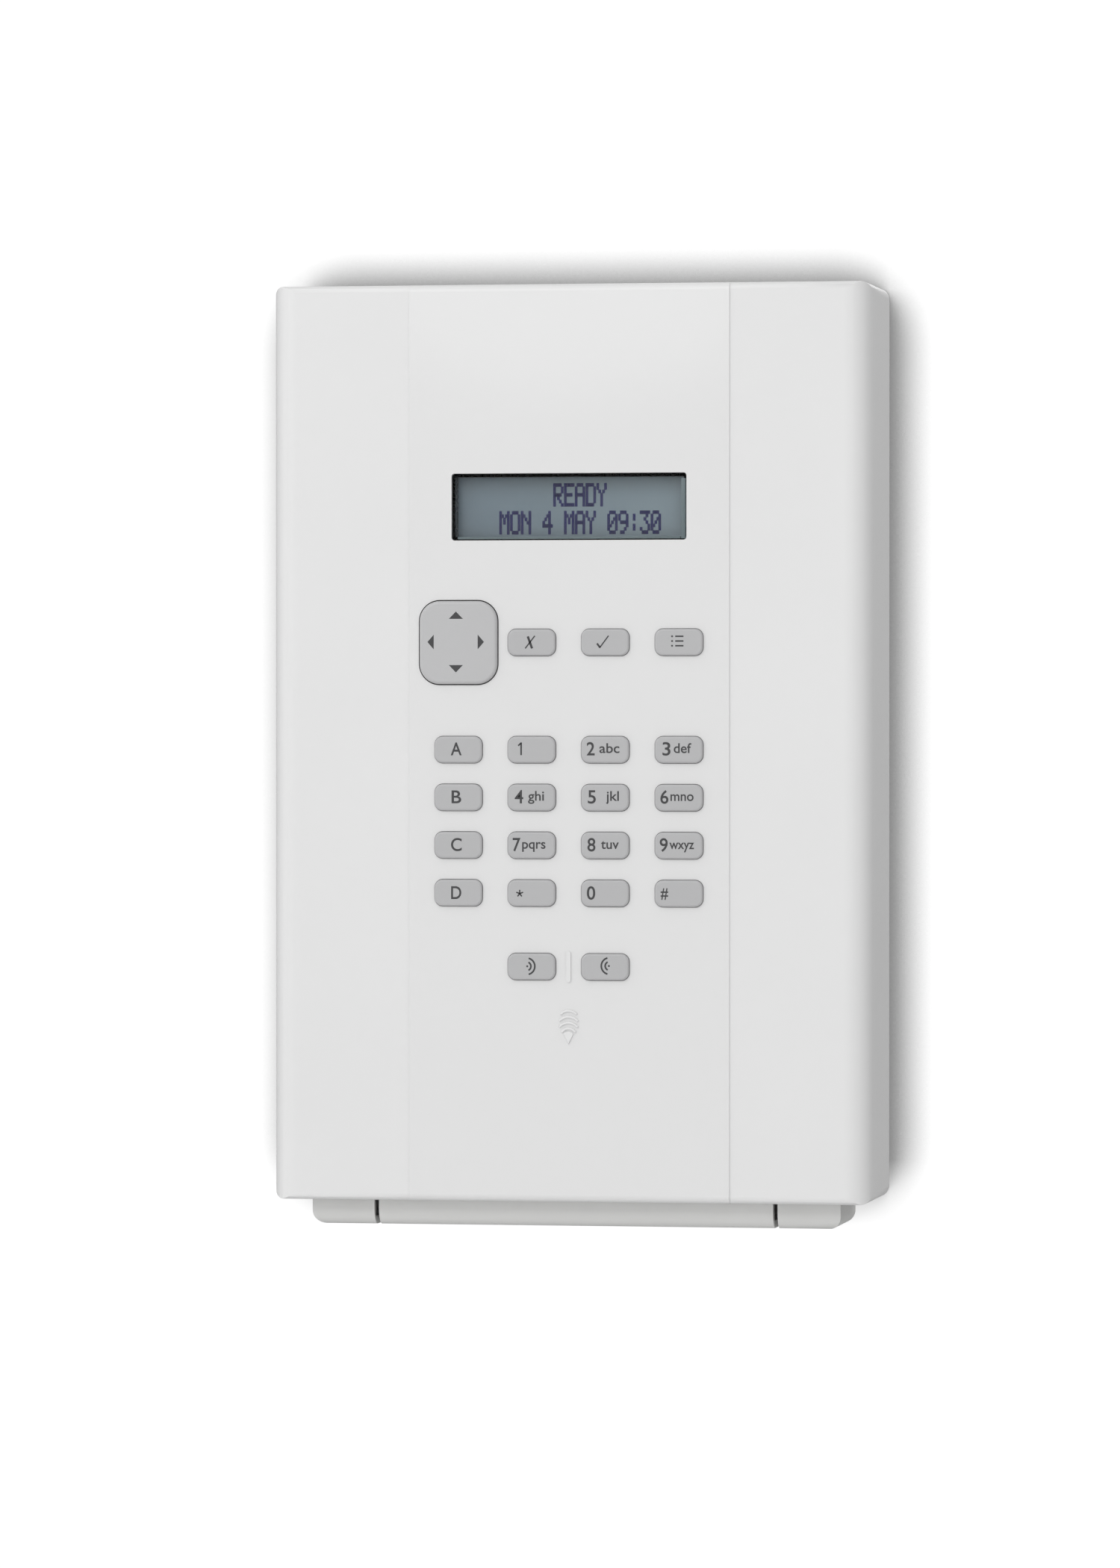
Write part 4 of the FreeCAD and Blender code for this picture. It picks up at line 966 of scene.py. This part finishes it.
def wallFinish():
    # an even white glow with a painted soft contact shadow, darkened by ambient occlusion near the panel,
    # seen through from behind
    finish = bpy.data.materials.new("studioWall")
    finish.use_nodes = True
    tree = finish.node_tree
    tree.nodes.clear()
    leave = tree.nodes.new("ShaderNodeOutputMaterial")
    glow = tree.nodes.new("ShaderNodeEmission")
    near = tree.nodes.new("ShaderNodeAmbientOcclusion")
    near.samples = 16
    near.inputs["Distance"].default_value = studio["contact"]
    # painted shadow: the wall's glow is dimmed where ambient occlusion finds the panel close by
    ramp = ranged(tree, near.outputs["AO"], 0.52, 0.86, studio["shadowDark"], studio["wallGlow"])
    path = tree.nodes.new("ShaderNodeLightPath")
    bounce = tree.nodes.new("ShaderNodeMix")
    bounce.inputs["A"].default_value = studio["bounce"]
    tree.links.new(path.outputs["Is Camera Ray"], bounce.inputs["Factor"])
    # the painted shadow dies away towards the foot of the panel
    where = tree.nodes.new("ShaderNodeTexCoord")
    apart = tree.nodes.new("ShaderNodeSeparateXYZ")
    tree.links.new(where.outputs["Object"], apart.inputs[0])
    rise = ranged(tree, apart.outputs["Z"], studio["shadowFoot"], studio["shadowFull"])
    fade = tree.nodes.new("ShaderNodeMix")
    fade.inputs["A"].default_value = studio["wallGlow"]
    tree.links.new(rise.outputs["Result"], fade.inputs["Factor"])
    tree.links.new(ramp.outputs["Result"], fade.inputs["B"])
    tree.links.new(fade.outputs["Result"], bounce.inputs["B"])
    tree.links.new(bounce.outputs["Result"], glow.inputs["Strength"])
    through = tree.nodes.new("ShaderNodeBsdfTransparent")
    facing = tree.nodes.new("ShaderNodeNewGeometry")
    either = worked(tree, "MAXIMUM", facing.outputs["Backfacing"], path.outputs["Is Shadow Ray"])
    mix = tree.nodes.new("ShaderNodeMixShader")
    tree.links.new(either, mix.inputs["Fac"])
    tree.links.new(glow.outputs[0], mix.inputs[1])
    tree.links.new(through.outputs[0], mix.inputs[2])
    tree.links.new(mix.outputs[0], leave.inputs["Surface"])
    return finish


def makeStudio():
    deselectAll()
    bpy.ops.mesh.primitive_plane_add(size=studio["wallSize"], location=(0, 0.0004, 0), rotation=facingFront)
    wall = freeze(bpy.context.object)
    wall.name = "studio_wall"
    wall.data.materials.append(wallFinish())
    deselectAll()
    bpy.ops.mesh.primitive_plane_add(size=studio["wallSize"] * 2, location=(0, -1.0, studio["floorUp"]))
    floor = freeze(bpy.context.object)
    floor.name = "studio_floor"
    finish, tree, principled = newFinish("studioFloor", Roughness=0.7)
    principled.inputs["Base Color"].default_value = (0.85, 0.85, 0.85, 1)
    facing = tree.nodes.new("ShaderNodeNewGeometry")
    through = tree.nodes.new("ShaderNodeBsdfTransparent")
    mix = tree.nodes.new("ShaderNodeMixShader")
    tree.links.new(facing.outputs["Backfacing"], mix.inputs["Fac"])
    tree.links.new(principled.outputs[0], mix.inputs[1])
    tree.links.new(through.outputs[0], mix.inputs[2])
    tree.links.new(mix.outputs[0], tree.nodes["Material Output"].inputs["Surface"])
    floor.data.materials.append(finish)
    deselectAll()


def addLight(name, place, aim, width, height, power):
    deselectAll()
    data = bpy.data.lights.new(name, "AREA")
    data.shape = "RECTANGLE"
    data.size, data.size_y = width, height
    data.energy = power
    lamp = bpy.data.objects.new(name, data)
    bpy.context.scene.collection.objects.link(lamp)
    lamp.location = place
    lamp.rotation_euler = (Vector(aim) - Vector(place)).to_track_quat("-Z", "Y").to_euler()
    return lamp


def makeLights():
    # brighter above and to the left than to the right and below, so that the sides have tone
    world = bpy.data.worlds.new("studioWorld")
    world.use_nodes = True
    tree = world.node_tree
    sky = tree.nodes["Background"]
    sky.inputs["Color"].default_value = (1, 1, 1, 1)
    place = tree.nodes.new("ShaderNodeTexCoord")
    parts = tree.nodes.new("ShaderNodeSeparateXYZ")
    tree.links.new(place.outputs["Generated"], parts.inputs[0])
    sideways = ranged(tree, parts.outputs["X"], -1, 1, studio["left"], studio["right"])
    upright = ranged(tree, parts.outputs["Z"], -1, 1, studio["below"], studio["above"])
    both = worked(tree, "MULTIPLY", sideways.outputs["Result"], upright.outputs["Result"])
    path = tree.nodes.new("ShaderNodeLightPath")
    seen = tree.nodes.new("ShaderNodeMix")
    seen.inputs["B"].default_value = 1.0
    tree.links.new(path.outputs["Is Camera Ray"], seen.inputs["Factor"])
    tree.links.new(both, seen.inputs["A"])
    tree.links.new(seen.outputs["Result"], sky.inputs["Strength"])
    bpy.context.scene.world = world
    addLight("key_light", (-0.35, -1.3, 1.0), (0, 0, 0.0), 1.6, 1.0, 5)
    card = addLight("front_card", (-0.253, -1.5, 0.508), (-0.253, 0, 0.508), 0.46, 0.7, 1.0)
    card.data.shape = "ELLIPSE"
    addLight("back_light", (0.4, 1.3, 0.9), (0, 0, 0), 1.2, 1.0, 20)


camera = {"azimuth": 9.9, "up": 0.006, "distance": 2.0, "lens": 169.4, "aimAcross": -0.0093,
          "aimUp": -0.0112}


def makeCamera():
    data = bpy.data.cameras.new("camera")
    eye = bpy.data.objects.new("camera", data)
    bpy.context.scene.collection.objects.link(eye)
    turn = math.radians(camera["azimuth"])
    aim = Vector((camera["aimAcross"], 0, camera["aimUp"]))
    place = Vector((math.sin(turn) * camera["distance"] + camera["aimAcross"],
                    -math.cos(turn) * camera["distance"], camera["up"]))
    eye.location = place
    eye.rotation_euler = (aim - place).to_track_quat("-Z", "Y").to_euler()
    data.lens = camera["lens"]
    data.sensor_width = 36
    data.clip_start, data.clip_end = 0.05, 30
    bpy.context.scene.camera = eye


makeStudio()
makeLights()
makeCamera()
bpy.context.scene.view_settings.view_transform = "Standard"
print("studio ready")
